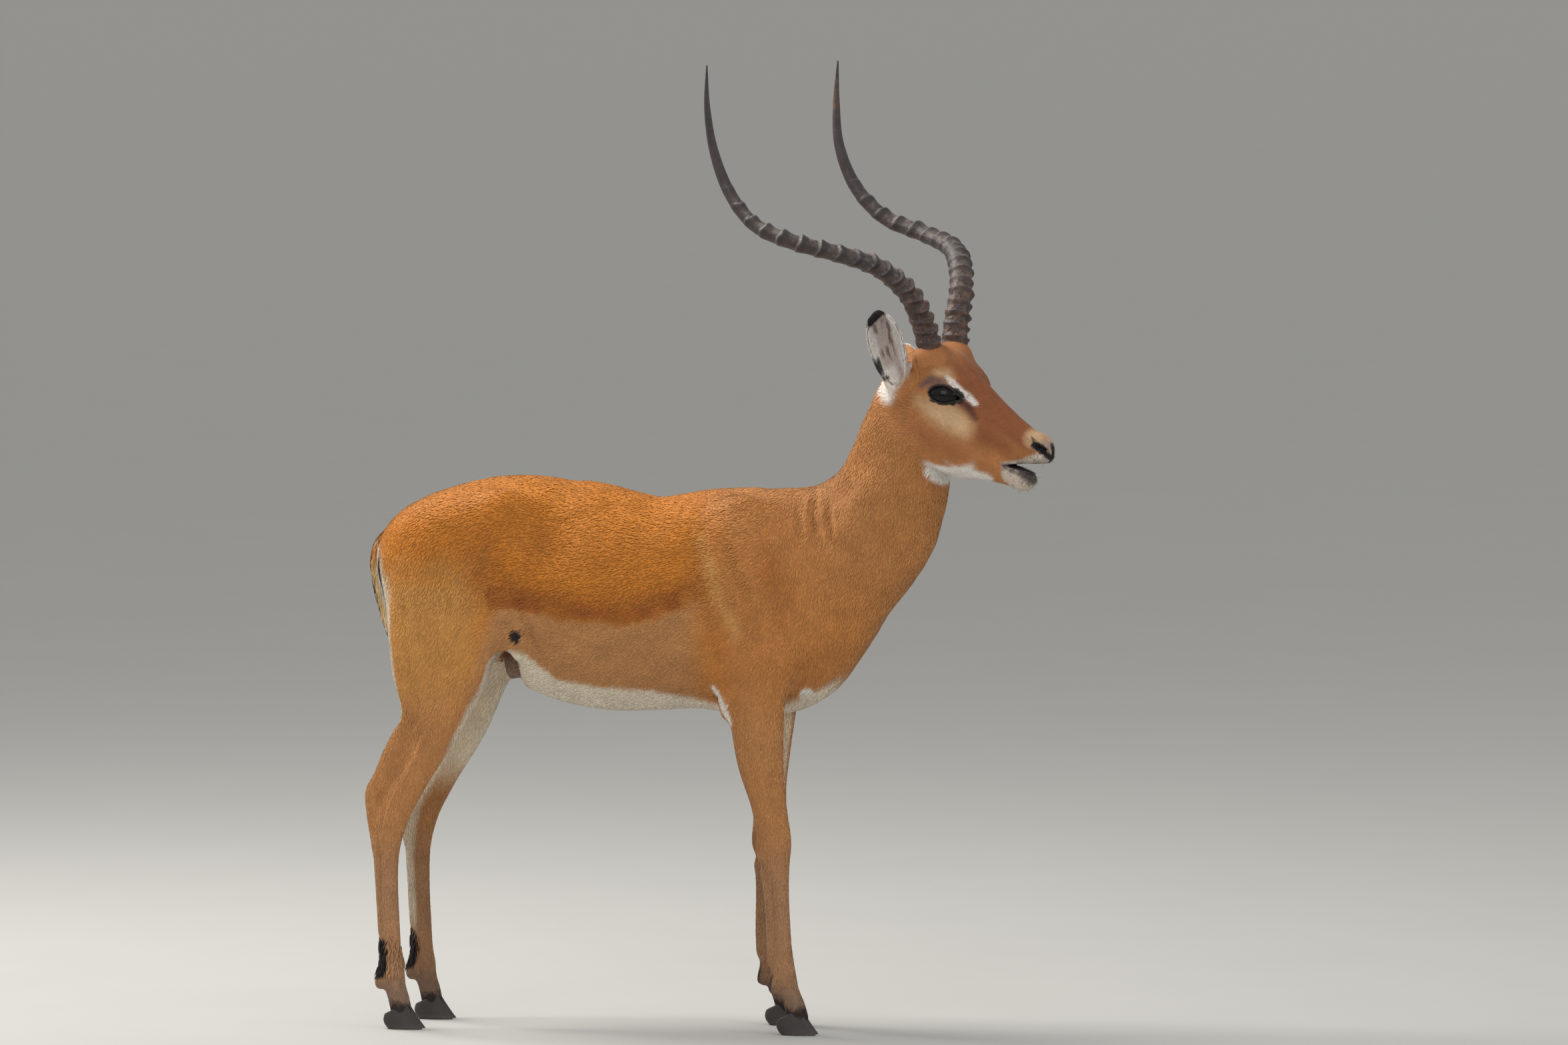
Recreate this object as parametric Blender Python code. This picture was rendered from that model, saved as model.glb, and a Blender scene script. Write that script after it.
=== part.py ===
"""An adult impala ram, standing still, life size.

The flesh is one soft body: named tubes and muscles, each a smooth distance
function, run together, meshed, thinned out and then parted into named nodes by
thin plane cuts. Horns, eyes, tongue and hooves are pieces of their own.
Metres, +Z up, nose towards +X, the animal's right side towards -Y.
"""
import math

import bmesh
import bpy
import numpy as np
from mathutils import Matrix, Vector

# ---- driving dimensions ------------------------------------------------------
PLACEMENT = (-0.187, -0.023, 0.0)   # moves the standing animal over its origin
HEAD_ORIGIN = (0.506, -0.030, 1.000)  # between the ears, where the head joins
HEAD_YAW = math.radians(-21.0)      # the head is turned to the animal's right
HEAD_RISE = 0.03                    # lift of the muzzle over its length
GAP = 0.0003                        # clearance between neighbouring nodes
FLESH_TRIANGLES = 3600              # of the whole soft body, before parting
COARSE_CELL = 0.0085                # meshing grid on trunk and legs
FINE_CELL = 0.0030                  # meshing grid round the head
FOOT_CELL = 0.0050                  # meshing grid near the floor
CORONET_HEIGHT = 0.036              # where skin ends and hoof begins
LEFT_FORE_SHIFT = -0.042            # the left forefoot stands behind the right
LEFT_HIND_SHIFT = 0.020             # the left hind foot stands ahead
EYE_RADIUS = 0.0195
HORN_RIDGES = 15
FAR = 0.25                          # field value well away from any surface
FILLED = 0.0004                     # depth given to a grid point that is filled in

LEFT = 1
RIGHT = -1


# ---- frames and paths --------------------------------------------------------
def placed(x, y, z):
    return np.array([x + PLACEMENT[0], y + PLACEMENT[1], z + PLACEMENT[2]])


def head_axes():
    forward = np.array([math.cos(HEAD_YAW), math.sin(HEAD_YAW), HEAD_RISE])
    leftward = np.array([-math.sin(HEAD_YAW), math.cos(HEAD_YAW), 0.0])
    return forward, leftward, np.array([0.0, 0.0, 1.0])


def head_point(x, y, z):
    forward, leftward, upward = head_axes()
    return placed(*HEAD_ORIGIN) + forward * x + leftward * y + upward * z


def head_direction(x, y, z):
    forward, leftward, upward = head_axes()
    direction = forward * x + leftward * y + upward * z
    return direction / np.linalg.norm(direction)


def smooth_rows(rows, steps):
    """Rows of numbers read from a smooth curve through the given rows."""
    rows = np.asarray(rows, float)
    padded = np.vstack([2 * rows[0] - rows[1], rows, 2 * rows[-1] - rows[-2]])
    result = []
    for index in range(len(rows) - 1):
        a, b, c, d = padded[index:index + 4]
        for step in range(steps):
            t = step / steps
            result.append(0.5 * (2 * b + (c - a) * t + (2 * a - 5 * b + 4 * c - d) * t * t
                                 + (3 * b - a - 3 * c + d) * t ** 3))
    result.append(rows[-1])
    return np.array(result)


# ---- masses: the tubes and muscles that make the flesh -----------------------
def tube(stations, side=(0, 1, 0), blend=0.02, steps=3, egg=0.0, cut=False):
    """A limb through stations of centre point, half depth and half width."""
    rows = smooth_rows([[*point, depth, width] for point, depth, width in stations], steps)
    rows[:, 3:] = np.maximum(rows[:, 3:], 0.0008)
    return {"kind": "tube", "rows": rows, "side": np.asarray(side, float),
            "blend": blend, "egg": egg, "cut": cut}


def muscle(centre, radii, long_axis, side=(0, 1, 0), blend=0.02, cut=False):
    """An ellipsoid of radii (long, across, side), its long axis as given."""
    along = np.asarray(long_axis, float)
    along = along / np.linalg.norm(along)
    flat = np.asarray(side, float)
    flat = flat - along * flat.dot(along)
    flat = flat / np.linalg.norm(flat)
    across = np.cross(flat, along)
    return {"kind": "muscle", "centre": np.asarray(centre, float), "blend": blend,
            "radii": radii, "frame": (along, across, flat), "cut": cut}


def pairs(make):
    return make(RIGHT) + make(LEFT)


def trunk_masses():
    back = [  # x, top of the back, bottom line, half width
        (-0.299, 0.800, 0.640, 0.044), (-0.284, 0.824, 0.620, 0.078),
        (-0.245, 0.856, 0.610, 0.100), (-0.165, 0.881, 0.610, 0.110),
        (-0.105, 0.887, 0.585, 0.116), (-0.045, 0.880, 0.528, 0.126),
        (0.025, 0.864, 0.509, 0.137), (0.085, 0.852, 0.510, 0.138),
        (0.150, 0.858, 0.514, 0.128), (0.215, 0.868, 0.508, 0.112),
        (0.285, 0.857, 0.505, 0.098), (0.335, 0.842, 0.545, 0.080),
    ]
    stations = []
    for x, top, bottom, half_width in back:
        stations.append((placed(x, 0, (top + bottom) / 2), (top - bottom) / 2, half_width))
    masses = [tube(stations, blend=0.03, steps=3, egg=-0.10)]

    def sided(side):
        return [
            muscle(placed(0.285, side * 0.066, 0.742), (0.130, 0.062, 0.038),
                   (-0.115, 0, 0.22), blend=0.03),                      # shoulder blade
            muscle(placed(0.270, side * 0.072, 0.605), (0.092, 0.062, 0.036),
                   (0.13, 0, 0.12), blend=0.025),                       # upper arm
            muscle(placed(0.352, side * 0.062, 0.650), (0.046, 0.040, 0.034),
                   (0, 0, 1), blend=0.03),                              # point of shoulder
            muscle(placed(0.382, side * 0.030, 0.628), (0.085, 0.042, 0.034),
                   (0.7, 0, 0.72), blend=0.035),                        # breast
            muscle(placed(-0.130, side * 0.086, 0.838), (0.040, 0.024, 0.020),
                   (1, 0, -0.3), blend=0.03),                           # point of hip
            muscle(placed(-0.225, side * 0.052, 0.790), (0.111, 0.066, 0.058),
                   (1, 0, 0.25), blend=0.03),                           # croup
            muscle(placed(-0.305, side * 0.046, 0.748), (0.062, 0.026, 0.030),
                   (0.15, 0, 1), blend=0.025),                          # seat bone
            muscle(placed(-0.130, side * 0.085, 0.650), (0.075, 0.028, 0.014),
                   (0.25, 0, 1), blend=0.03),                           # flank fold
            muscle(placed(-0.055, side * 0.150, 0.800), (0.055, 0.032, 0.028),
                   (0.4, 0, 1), blend=0.035, cut=True),                 # hollow of the flank
        ]
    masses += pairs(sided)
    masses.append(muscle(placed(-0.360, 0, 0.675), (0.118, 0.029, 0.034),
                         (0.16, 0, -1), blend=0.02, cut=True))          # cleft under the tail
    return masses


def neck_masses():
    line = [  # x, y, z, half depth, half width
        (0.270, 0.000, 0.700, 0.150, 0.098), (0.335, 0.000, 0.732, 0.136, 0.092),
        (0.398, -0.002, 0.768, 0.117, 0.082), (0.446, -0.007, 0.814, 0.103, 0.072),
        (0.474, -0.013, 0.865, 0.090, 0.065), (0.488, -0.020, 0.910, 0.081, 0.060),
        (0.494, -0.026, 0.955, 0.070, 0.055), (0.500, -0.029, 0.995, 0.058, 0.050),
    ]
    stations = [(placed(x, y, z), depth, width) for x, y, z, depth, width in line]
    masses = [tube(stations, blend=0.035, steps=3, egg=0.06)]

    def sided(side):
        return [muscle(placed(0.430, side * 0.052 - 0.012, 0.800), (0.120, 0.034, 0.026),
                       (0.45, 0, 0.9), blend=0.03)]                     # neck muscle
    return masses + pairs(sided)


def head_masses():
    across = head_direction(0, 1, 0)

    def line(rows):
        return [(head_point(x, 0, z), depth, width) for x, z, depth, width in rows]

    masses = [
        muscle(head_point(0.030, 0, 0.026), (0.078, 0.064, 0.052),
               head_direction(1, 0, -0.15), side=across, blend=0.02),   # brain case
        muscle(head_point(0.062, 0, 0.060), (0.046, 0.036, 0.046),
               head_direction(1, 0, -0.6), side=across, blend=0.02),    # brow between horns
        tube(line([(0.060, 0.004, 0.078, 0.050), (0.102, -0.016, 0.066, 0.043),
                   (0.145, -0.034, 0.0485, 0.0345), (0.180, -0.049, 0.0370, 0.0285),
                   (0.212, -0.062, 0.0290, 0.0255), (0.232, -0.068, 0.0250, 0.0240)]),
             side=across, blend=0.02, steps=3),                         # muzzle
        muscle(head_point(0.232, 0, -0.0705), (0.0245, 0.0230, 0.0255),
               head_direction(0.5, 0, -0.87), side=across, blend=0.012),  # nose and upper lip
        tube(line([(0.045, -0.060, 0.040, 0.034), (0.095, -0.078, 0.036, 0.034),
                   (0.140, -0.0935, 0.0235, 0.0265), (0.180, -0.1070, 0.0175, 0.0200),
                   (0.203, -0.1150, 0.0160, 0.0185)]),
             side=across, blend=0.016, steps=3),                        # lower jaw
        muscle(head_point(0.206, 0, -0.1160), (0.0215, 0.0155, 0.0190),
               head_direction(1, 0, -0.1), side=across, blend=0.01),    # chin
        muscle(head_point(0.146, 0, -0.0760), (0.056, 0.027, 0.0300),
               head_direction(1, 0, -0.35), side=across, blend=0.012),  # corners of the mouth
    ]

    def sided(side):
        return [
            muscle(head_point(0.086, side * 0.040, 0.022), (0.038, 0.027, 0.0245),
                   head_direction(1, side * -0.25, -0.25), side=across, blend=0.016),  # orbit
            muscle(head_point(0.095, side * 0.034, 0.052), (0.034, 0.014, 0.0150),
                   head_direction(1, side * -0.1, -0.85), side=across, blend=0.014),   # brow
            muscle(head_point(0.078, side * 0.030, -0.050), (0.058, 0.046, 0.0200),
                   head_direction(0.85, 0, -0.5), side=across, blend=0.02),            # cheek
            muscle(head_point(0.058, side * 0.037, 0.078), (0.028, 0.030, 0.028),
                   head_direction(0, side * 0.2, 1), side=across, blend=0.016),        # horn root
        ]
    masses += pairs(sided)
    mouth = [(head_point(x, 0, z), depth, width) for x, z, depth, width in [
        (0.180, -0.0915, 0.0010, 0.050), (0.200, -0.0945, 0.0035, 0.050),
        (0.225, -0.0985, 0.0085, 0.050), (0.265, -0.1050, 0.0150, 0.050)]]
    masses.append(tube(mouth, side=across, blend=0.003, steps=3, cut=True))
    return masses


def ear_masses(side):
    if side == RIGHT:                   # held up, open to the side
        base, tip = (0.007, -0.050, 0.026), (0.003, -0.114, 0.156)
        opening, back_bow = (0.42, -0.85, 0.0), 0.005
    else:                               # turned back
        base, tip = (0.002, 0.050, 0.026), (-0.092, 0.112, 0.088)
        opening, back_bow = (-0.30, 0.95, -0.1), 0.008
    start, end = np.array(head_point(*base)), np.array(head_point(*tip))
    axis = (end - start) / np.linalg.norm(end - start)
    out = head_direction(*opening)
    out = out - axis * out.dot(axis)
    out = out / np.linalg.norm(out)
    breadth = np.cross(axis, out)

    def along(fraction, shift):
        bow = back_bow * (4 * fraction * (1 - fraction))
        return start + (end - start) * fraction + out * (shift - bow)

    outer = [(along(f, 0.0), thick, broad) for f, thick, broad in [
        (0.00, 0.018, 0.018), (0.16, 0.018, 0.0205), (0.36, 0.0165, 0.0255),
        (0.60, 0.0150, 0.0285), (0.80, 0.0120, 0.0240), (0.92, 0.0090, 0.0165),
        (0.98, 0.0060, 0.0090)]]
    scoop = [(along(f, 0.012), thick, broad) for f, thick, broad in [
        (0.20, 0.0080, 0.0090), (0.36, 0.0150, 0.0180), (0.60, 0.0150, 0.0220),
        (0.78, 0.0120, 0.0170), (0.87, 0.0080, 0.0100), (0.90, 0.0050, 0.0060)]]
    return [tube(outer, side=breadth, blend=0.014, steps=3),
            tube(scoop, side=breadth, blend=0.006, steps=3, cut=True)]


def foreleg_masses(side, shift):
    line = [  # x, height, half depth, half width, share of the foot's shift
        (0.262, 0.600, 0.060, 0.034, 0.0), (0.2665, 0.520, 0.0445, 0.0290, 0.1),
        (0.2720, 0.455, 0.0375, 0.0255, 0.3), (0.2800, 0.395, 0.0305, 0.0215, 0.5),
        (0.2890, 0.345, 0.0275, 0.0205, 0.65), (0.2945, 0.305, 0.0270, 0.0220, 0.75),
        (0.2985, 0.270, 0.0200, 0.0175, 0.8), (0.3020, 0.220, 0.0155, 0.0145, 0.9),
        (0.3050, 0.150, 0.0160, 0.0145, 1.0), (0.3065, 0.115, 0.0185, 0.0170, 1.0),
        (0.3095, 0.092, 0.0195, 0.0180, 1.0), (0.3175, 0.068, 0.0160, 0.0165, 1.0),
        (0.3260, 0.046, 0.0165, 0.0180, 1.0), (0.3320, 0.026, 0.0165, 0.0180, 1.0),
    ]
    stations = []
    for x, height, depth, width, share in line:
        y = side * (0.072 + 0.010 * (height / 0.6))
        stations.append((placed(x + share * shift, y, height), depth, width))
    return [
        tube(stations, blend=0.022, steps=3),
        muscle(placed(0.222 + 0.1 * shift, side * 0.082, 0.522), (0.034, 0.016, 0.016),
               (0.35, 0, 1), blend=0.02),                               # point of elbow
        muscle(placed(0.262 + 0.2 * shift, side * 0.092, 0.465), (0.080, 0.026, 0.022),
               (0.1, 0, -1), blend=0.02),                               # forearm muscle
        muscle(placed(0.2735 + 0.7 * shift, side * 0.077, 0.296), (0.020, 0.010, 0.012),
               (0.1, 0, 1), blend=0.012),                               # back of the knee
        muscle(placed(0.2945 + shift, side * 0.074, 0.078), (0.016, 0.010, 0.015),
               (0.3, 0, 1), blend=0.010),                               # back of the fetlock
    ]


def hindleg_masses(side, shift):
    line = [  # x, height, half depth, half width, y, share of the foot's shift
        (-0.232, 0.745, 0.104, 0.052, 0.058, 0.0), (-0.226, 0.690, 0.106, 0.050, 0.064, 0.0),
        (-0.228, 0.640, 0.096, 0.046, 0.070, 0.2), (-0.236, 0.590, 0.078, 0.043, 0.074, 0.5),
        (-0.243, 0.545, 0.060, 0.040, 0.077, 0.7), (-0.250, 0.495, 0.0415, 0.034, 0.080, 0.9),
        (-0.267, 0.450, 0.0320, 0.028, 0.081, 1.0), (-0.286, 0.410, 0.0260, 0.0235, 0.082, 1.0),
        (-0.3045, 0.376, 0.0250, 0.0225, 0.083, 1.0), (-0.3210, 0.345, 0.0255, 0.0220, 0.083, 1.0),
        (-0.3300, 0.312, 0.0235, 0.0205, 0.083, 1.0), (-0.3340, 0.275, 0.0205, 0.0170, 0.083, 1.0),
        (-0.3330, 0.220, 0.0185, 0.0150, 0.082, 1.0), (-0.3300, 0.160, 0.0180, 0.0148, 0.081, 1.0),
        (-0.3275, 0.115, 0.0185, 0.0160, 0.080, 1.0), (-0.3250, 0.090, 0.0200, 0.0178, 0.080, 1.0),
        (-0.3200, 0.067, 0.0170, 0.0165, 0.080, 1.0), (-0.3140, 0.046, 0.0170, 0.0180, 0.080, 1.0),
        (-0.3100, 0.026, 0.0170, 0.0180, 0.080, 1.0),
    ]
    stations = []
    for x, height, depth, width, y, share in line:
        stations.append((placed(x + share * shift, side * y, height), depth, width))
    tendon = [(placed(x + shift * share, side * 0.080, height), radius, radius * 0.85)
              for x, height, radius, share in [
                  (-0.282, 0.545, 0.016, 0.7), (-0.302, 0.485, 0.0110, 0.9),
                  (-0.326, 0.440, 0.0085, 1.0), (-0.345, 0.405, 0.0090, 1.0),
                  (-0.3565, 0.380, 0.0120, 1.0), (-0.3545, 0.345, 0.0125, 1.0),
                  (-0.3475, 0.290, 0.0105, 1.0)]]
    return [
        tube(stations, blend=0.030, steps=3),
        tube(tendon, blend=0.014, steps=3),
        muscle(placed(-0.314 + shift, side * 0.081, 0.440), (0.072, 0.026, 0.0105),
               (-0.42, 0, -0.9), blend=0.014),                          # web before the tendon
        muscle(placed(-0.182 + 0.3 * shift, side * 0.080, 0.618), (0.060, 0.034, 0.034),
               (0.35, 0, 1), blend=0.03),                               # stifle
        muscle(placed(-0.285 + 0.2 * shift, side * 0.082, 0.640), (0.120, 0.040, 0.034),
               (0.06, 0, 1), blend=0.03),                               # back of the thigh
        muscle(placed(-0.3430 + shift, side * 0.080, 0.078), (0.016, 0.010, 0.015),
               (0.3, 0, 1), blend=0.010),                               # back of the fetlock
    ]


def tail_masses():
    line = [(-0.325, 0.780, 0.022), (-0.3520, 0.772, 0.0180), (-0.3655, 0.745, 0.0120),
            (-0.3625, 0.710, 0.0105), (-0.3535, 0.675, 0.0115), (-0.3420, 0.640, 0.0125),
            (-0.3340, 0.608, 0.0065)]
    stations = [(placed(x, 0, z), radius * 0.9, radius * 1.25) for x, z, radius in line]
    return [tube(stations, blend=0.008, steps=3)]


def groin_masses():
    return [muscle(placed(-0.1465, -0.050, 0.566), (0.052, 0.0215, 0.085),
                   (0.12, 0, 1), blend=0.012, cut=True)]                # before the right thigh


# ---- from masses to a mesh ---------------------------------------------------
def ellipse_distance(parts, radii):
    near = sum((part / radius) ** 2 for part, radius in zip(parts, radii))
    slope = sum((part / (radius * radius)) ** 2 for part, radius in zip(parts, radii))
    length = np.sqrt(near) + 1e-6
    return length * (length - 1) / (np.sqrt(slope) + 1e-6)


def segment_distance(x, y, z, first, last, side, egg):
    along = last[:3] - first[:3]
    length = np.linalg.norm(along)
    along = along / length
    flat = side - along * side.dot(along)
    flat = flat / np.linalg.norm(flat)
    rise = np.cross(along, flat)
    dx, dy, dz = x - first[0], y - first[1], z - first[2]
    run = dx * along[0] + dy * along[1] + dz * along[2]
    share = np.clip(run / length, 0, 1)
    depth = first[3] + (last[3] - first[3]) * share
    width = first[4] + (last[4] - first[4]) * share
    across = dx * flat[0] + dy * flat[1] + dz * flat[2]
    upward = dx * rise[0] + dy * rise[1] + dz * rise[2]
    if egg:
        width = width * (1 - egg * np.clip(upward / depth, -1, 1))
    beyond = run - share * length
    return ellipse_distance((across, upward, beyond),
                            (width, depth, np.minimum(depth, width)))


def window(axes, low, high):
    return tuple(slice(max(0, int(np.searchsorted(axis, a)) - 1),
                       int(np.searchsorted(axis, b)) + 1)
                 for axis, a, b in zip(axes, low, high))


def open_axes(axes, part):
    x, y, z = (axis[span] for axis, span in zip(axes, part))
    return x[:, None, None], y[None, :, None], z[None, None, :]


def tube_field(axes, mass):
    rows = mass["rows"]
    reach = rows[:, 3:].max(axis=1) * (1 + abs(mass["egg"])) + mass["blend"] + COARSE_CELL
    part = window(axes, rows[:, :3].min(0) - reach.max(), rows[:, :3].max(0) + reach.max())
    shape = [span.stop - span.start for span in part]
    value = np.full([min(count, len(axis) - span.start)
                     for count, axis, span in zip(shape, axes, part)], FAR)
    for first, last, near, far in zip(rows, rows[1:], reach, reach[1:]):
        margin = max(near, far)
        bounds = np.minimum(first[:3], last[:3]) - margin, np.maximum(first[:3], last[:3]) + margin
        piece = window(axes, *bounds)
        distance = segment_distance(*open_axes(axes, piece), first, last, mass["side"], mass["egg"])
        inner = tuple(slice(span.start - whole.start, span.stop - whole.start)
                      for span, whole in zip(piece, part))
        target = value[inner]
        np.minimum(target, distance[tuple(slice(0, n) for n in target.shape)], out=target)
    return part, value


def muscle_field(axes, mass):
    reach = max(mass["radii"]) + mass["blend"] + COARSE_CELL
    part = window(axes, mass["centre"] - reach, mass["centre"] + reach)
    x, y, z = open_axes(axes, part)
    dx, dy, dz = (c - centre for c, centre in zip((x, y, z), mass["centre"]))
    parts = [dx * axis[0] + dy * axis[1] + dz * axis[2] for axis in mass["frame"]]
    return part, ellipse_distance(parts, mass["radii"])


def body_field(axes, masses):
    total = np.full([len(axis) for axis in axes], FAR)
    for mass in masses:
        part, value = (tube_field if mass["kind"] == "tube" else muscle_field)(axes, mass)
        target = total[part]
        if mass["cut"]:
            value = -value
            mix = np.maximum(mass["blend"] - np.abs(target - value), 0) / mass["blend"]
            target[...] = np.maximum(target, value) + mix * mix * mass["blend"] / 4
        else:
            mix = np.maximum(mass["blend"] - np.abs(target - value), 0) / mass["blend"]
            target[...] = np.minimum(target, value) - mix * mix * mass["blend"] / 4
    return total


def joined(value):
    """The field with every grid square filled where only its diagonal is flesh."""
    faces = [((0, 0, 0), (1, 1, 0), (1, 0, 0), (0, 1, 0)),
             ((0, 0, 0), (1, 0, 1), (1, 0, 0), (0, 0, 1)),
             ((0, 0, 0), (0, 1, 1), (0, 1, 0), (0, 0, 1))]
    cubes = [((0, 0, 0), (1, 1, 1)), ((1, 0, 0), (0, 1, 1)),
             ((0, 1, 0), (1, 0, 1)), ((0, 0, 1), (1, 1, 0))]
    corners = [(a, b, c) for a in (0, 1) for b in (0, 1) for c in (0, 1)]
    size = [count - 1 for count in value.shape]

    def at(corner):
        return value[tuple(slice(offset, offset + count) for offset, count in zip(corner, size))]
    for attempt in range(6):
        changed = 0
        for a, b, c, d in faces:
            for one, two, open_one, open_two in ((a, b, c, d), (c, d, a, b)):
                found = ((at(one) < 0) & (at(two) < 0) & (at(open_one) >= 0) & (at(open_two) >= 0))
                for corner in (open_one, open_two):
                    at(corner)[found] = -FILLED
                changed += int(found.sum())
        flesh = sum((at(corner) < 0).astype(np.int8) for corner in corners)
        for one, two in cubes:
            lone = (at(one) < 0) & (at(two) < 0) & (flesh == 2)
            hollow = (at(one) >= 0) & (at(two) >= 0) & (flesh == 6)
            for corner in corners:
                at(corner)[lone & (at(corner) >= 0)] = -FILLED
            for corner in (one, two):
                at(corner)[hollow] = -FILLED
            changed += int(lone.sum() + hollow.sum())
        if not changed:
            break
    return value


def surface_mesh(axes, value):
    """Quads round the zero level: one vertex in each cell that it crosses."""
    inside = value < 0
    shape = np.array(value.shape) - 1
    corners = sum(inside[a:a + shape[0], b:b + shape[1], c:c + shape[2]].astype(np.int8)
                  for a in (0, 1) for b in (0, 1) for c in (0, 1))
    cells = np.argwhere((corners > 0) & (corners < 8))
    number = np.full(shape, -1)
    number[tuple(cells.T)] = np.arange(len(cells))
    total, count = np.zeros((len(cells), 3)), np.zeros(len(cells))
    faces = []
    for direction in range(3):
        step = np.eye(3, dtype=int)[direction]
        others = [axis for axis in range(3) if axis != direction]
        for a in (0, 1):
            for b in (0, 1):
                start = cells.copy()
                start[:, others[0]] += a
                start[:, others[1]] += b
                low, high = value[tuple(start.T)], value[tuple((start + step).T)]
                crossed = (low < 0) != (high < 0)
                share = np.where(crossed, low / np.where(crossed, low - high, 1), 0)
                ends = [np.stack([axes[i][p[:, i]] for i in range(3)], axis=1)
                        for p in (start, start + step)]
                total += np.where(crossed[:, None], ends[0] + (ends[1] - ends[0]) * share[:, None], 0)
                count += crossed
        first = np.moveaxis(inside, direction, 0)
        edges = np.argwhere(first[:-1] != first[1:])
        order = [direction, *others]
        edge = np.empty_like(edges)
        edge[:, order] = edges
        nxt, last = (direction + 1) % 3, (direction + 2) % 3
        ring = []
        for a, b in ((-1, -1), (0, -1), (0, 0), (-1, 0)):
            cell = edge.copy()
            cell[:, nxt] += a
            cell[:, last] += b
            ring.append(number[tuple(cell.T)])
        quad = np.stack(ring, axis=1)
        outward = inside[tuple(edge.T)]
        quad[~outward] = quad[~outward][:, ::-1]
        faces.append(quad)
    return total / count[:, None], np.vstack(faces)


def graded_axis(low, high, coarse, fine_spans):
    """Grid lines from low to high, closer together inside the fine spans."""
    lines = [low]
    while lines[-1] < high:
        cell = coarse
        for a, b, fine in fine_spans:
            if a <= lines[-1] <= b:
                cell = min(cell, fine)
        lines.append(lines[-1] + cell)
    return np.array(lines)


def whole_body():
    masses = (trunk_masses() + neck_masses() + foreleg_masses(RIGHT, 0.0)
              + foreleg_masses(LEFT, LEFT_FORE_SHIFT) + hindleg_masses(RIGHT, 0.0)
              + hindleg_masses(LEFT, LEFT_HIND_SHIFT) + head_masses()
              + ear_masses(RIGHT) + ear_masses(LEFT) + tail_masses() + groin_masses())
    head = placed(*HEAD_ORIGIN)
    axes = [
        graded_axis(PLACEMENT[0] - 0.42, PLACEMENT[0] + 0.80, COARSE_CELL,
                    [(head[0] - 0.13, head[0] + 0.28, FINE_CELL),
                     (PLACEMENT[0] - 0.40, PLACEMENT[0] - 0.33, FINE_CELL)]),
        graded_axis(PLACEMENT[1] - 0.24, PLACEMENT[1] + 0.22, FINE_CELL, []),
        graded_axis(0.0, 1.20, COARSE_CELL,
                    [(head[2] - 0.15, head[2] + 0.2, FINE_CELL), (0.0, 0.13, FOOT_CELL)]),
    ]
    return surface_mesh(axes, joined(body_field(axes, masses)))


# ---- objects -----------------------------------------------------------------
def material(name, colour, roughness, metallic=0.0):
    made = bpy.data.materials.get(name)
    if made is None:
        made = bpy.data.materials.new(name)
        made.use_nodes = True
        shader = made.node_tree.nodes["Principled BSDF"]
        shader.inputs["Base Color"].default_value = (*colour, 1.0)
        shader.inputs["Roughness"].default_value = roughness
        shader.inputs["Metallic"].default_value = metallic
    return made


MATERIALS = {
    "saddle_coat": ((0.40, 0.15, 0.045), 0.75), "flank_coat": ((0.55, 0.29, 0.13), 0.75),
    "leg_coat": ((0.45, 0.24, 0.12), 0.75), "face_coat": ((0.42, 0.16, 0.06), 0.7),
    "throat_coat": ((0.82, 0.76, 0.68), 0.8), "ear_skin": ((0.55, 0.44, 0.38), 0.7),
    "horn": ((0.060, 0.048, 0.042), 0.5), "hoof": ((0.030, 0.026, 0.025), 0.4),
    "eye": ((0.010, 0.007, 0.006), 0.05), "tongue": ((0.10, 0.06, 0.08), 0.3),
}


def object_from(name, mesh, finish):
    colour, roughness = MATERIALS[finish]
    mesh.materials.clear()
    mesh.materials.append(material(finish, colour, roughness))
    made = bpy.data.objects.new(name, mesh)
    bpy.context.scene.collection.objects.link(made)
    return made


def mesh_from(vertices, faces):
    mesh = bpy.data.meshes.new("shape")
    mesh.from_pydata([tuple(v) for v in vertices], [], [tuple(int(i) for i in f) for f in faces])
    mesh.update()
    return mesh


def baked(made):
    """The object's mesh with its modifiers applied; the object itself goes."""
    graph = bpy.context.evaluated_depsgraph_get()
    mesh = bpy.data.meshes.new_from_object(made.evaluated_get(graph))
    bpy.data.objects.remove(made)
    return mesh


def thinned(mesh, triangles):
    made = object_from("thinning", mesh, "saddle_coat")
    thin = made.modifiers.new("thin", "DECIMATE")
    thin.ratio = triangles / sum(len(face.vertices) - 2 for face in mesh.polygons)
    thin.use_collapse_triangulate = True
    return baked(made)


def islands(shape):
    """Lists of vertices, one for each separate piece of the mesh."""
    left = set(shape.verts)
    groups = []
    while left:
        group, edge = set(), [left.pop()]
        while edge:
            vertex = edge.pop()
            group.add(vertex)
            for link in vertex.link_edges:
                other = link.other_vert(vertex)
                if other in left:
                    left.remove(other)
                    edge.append(other)
        groups.append(group)
    return groups


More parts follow.
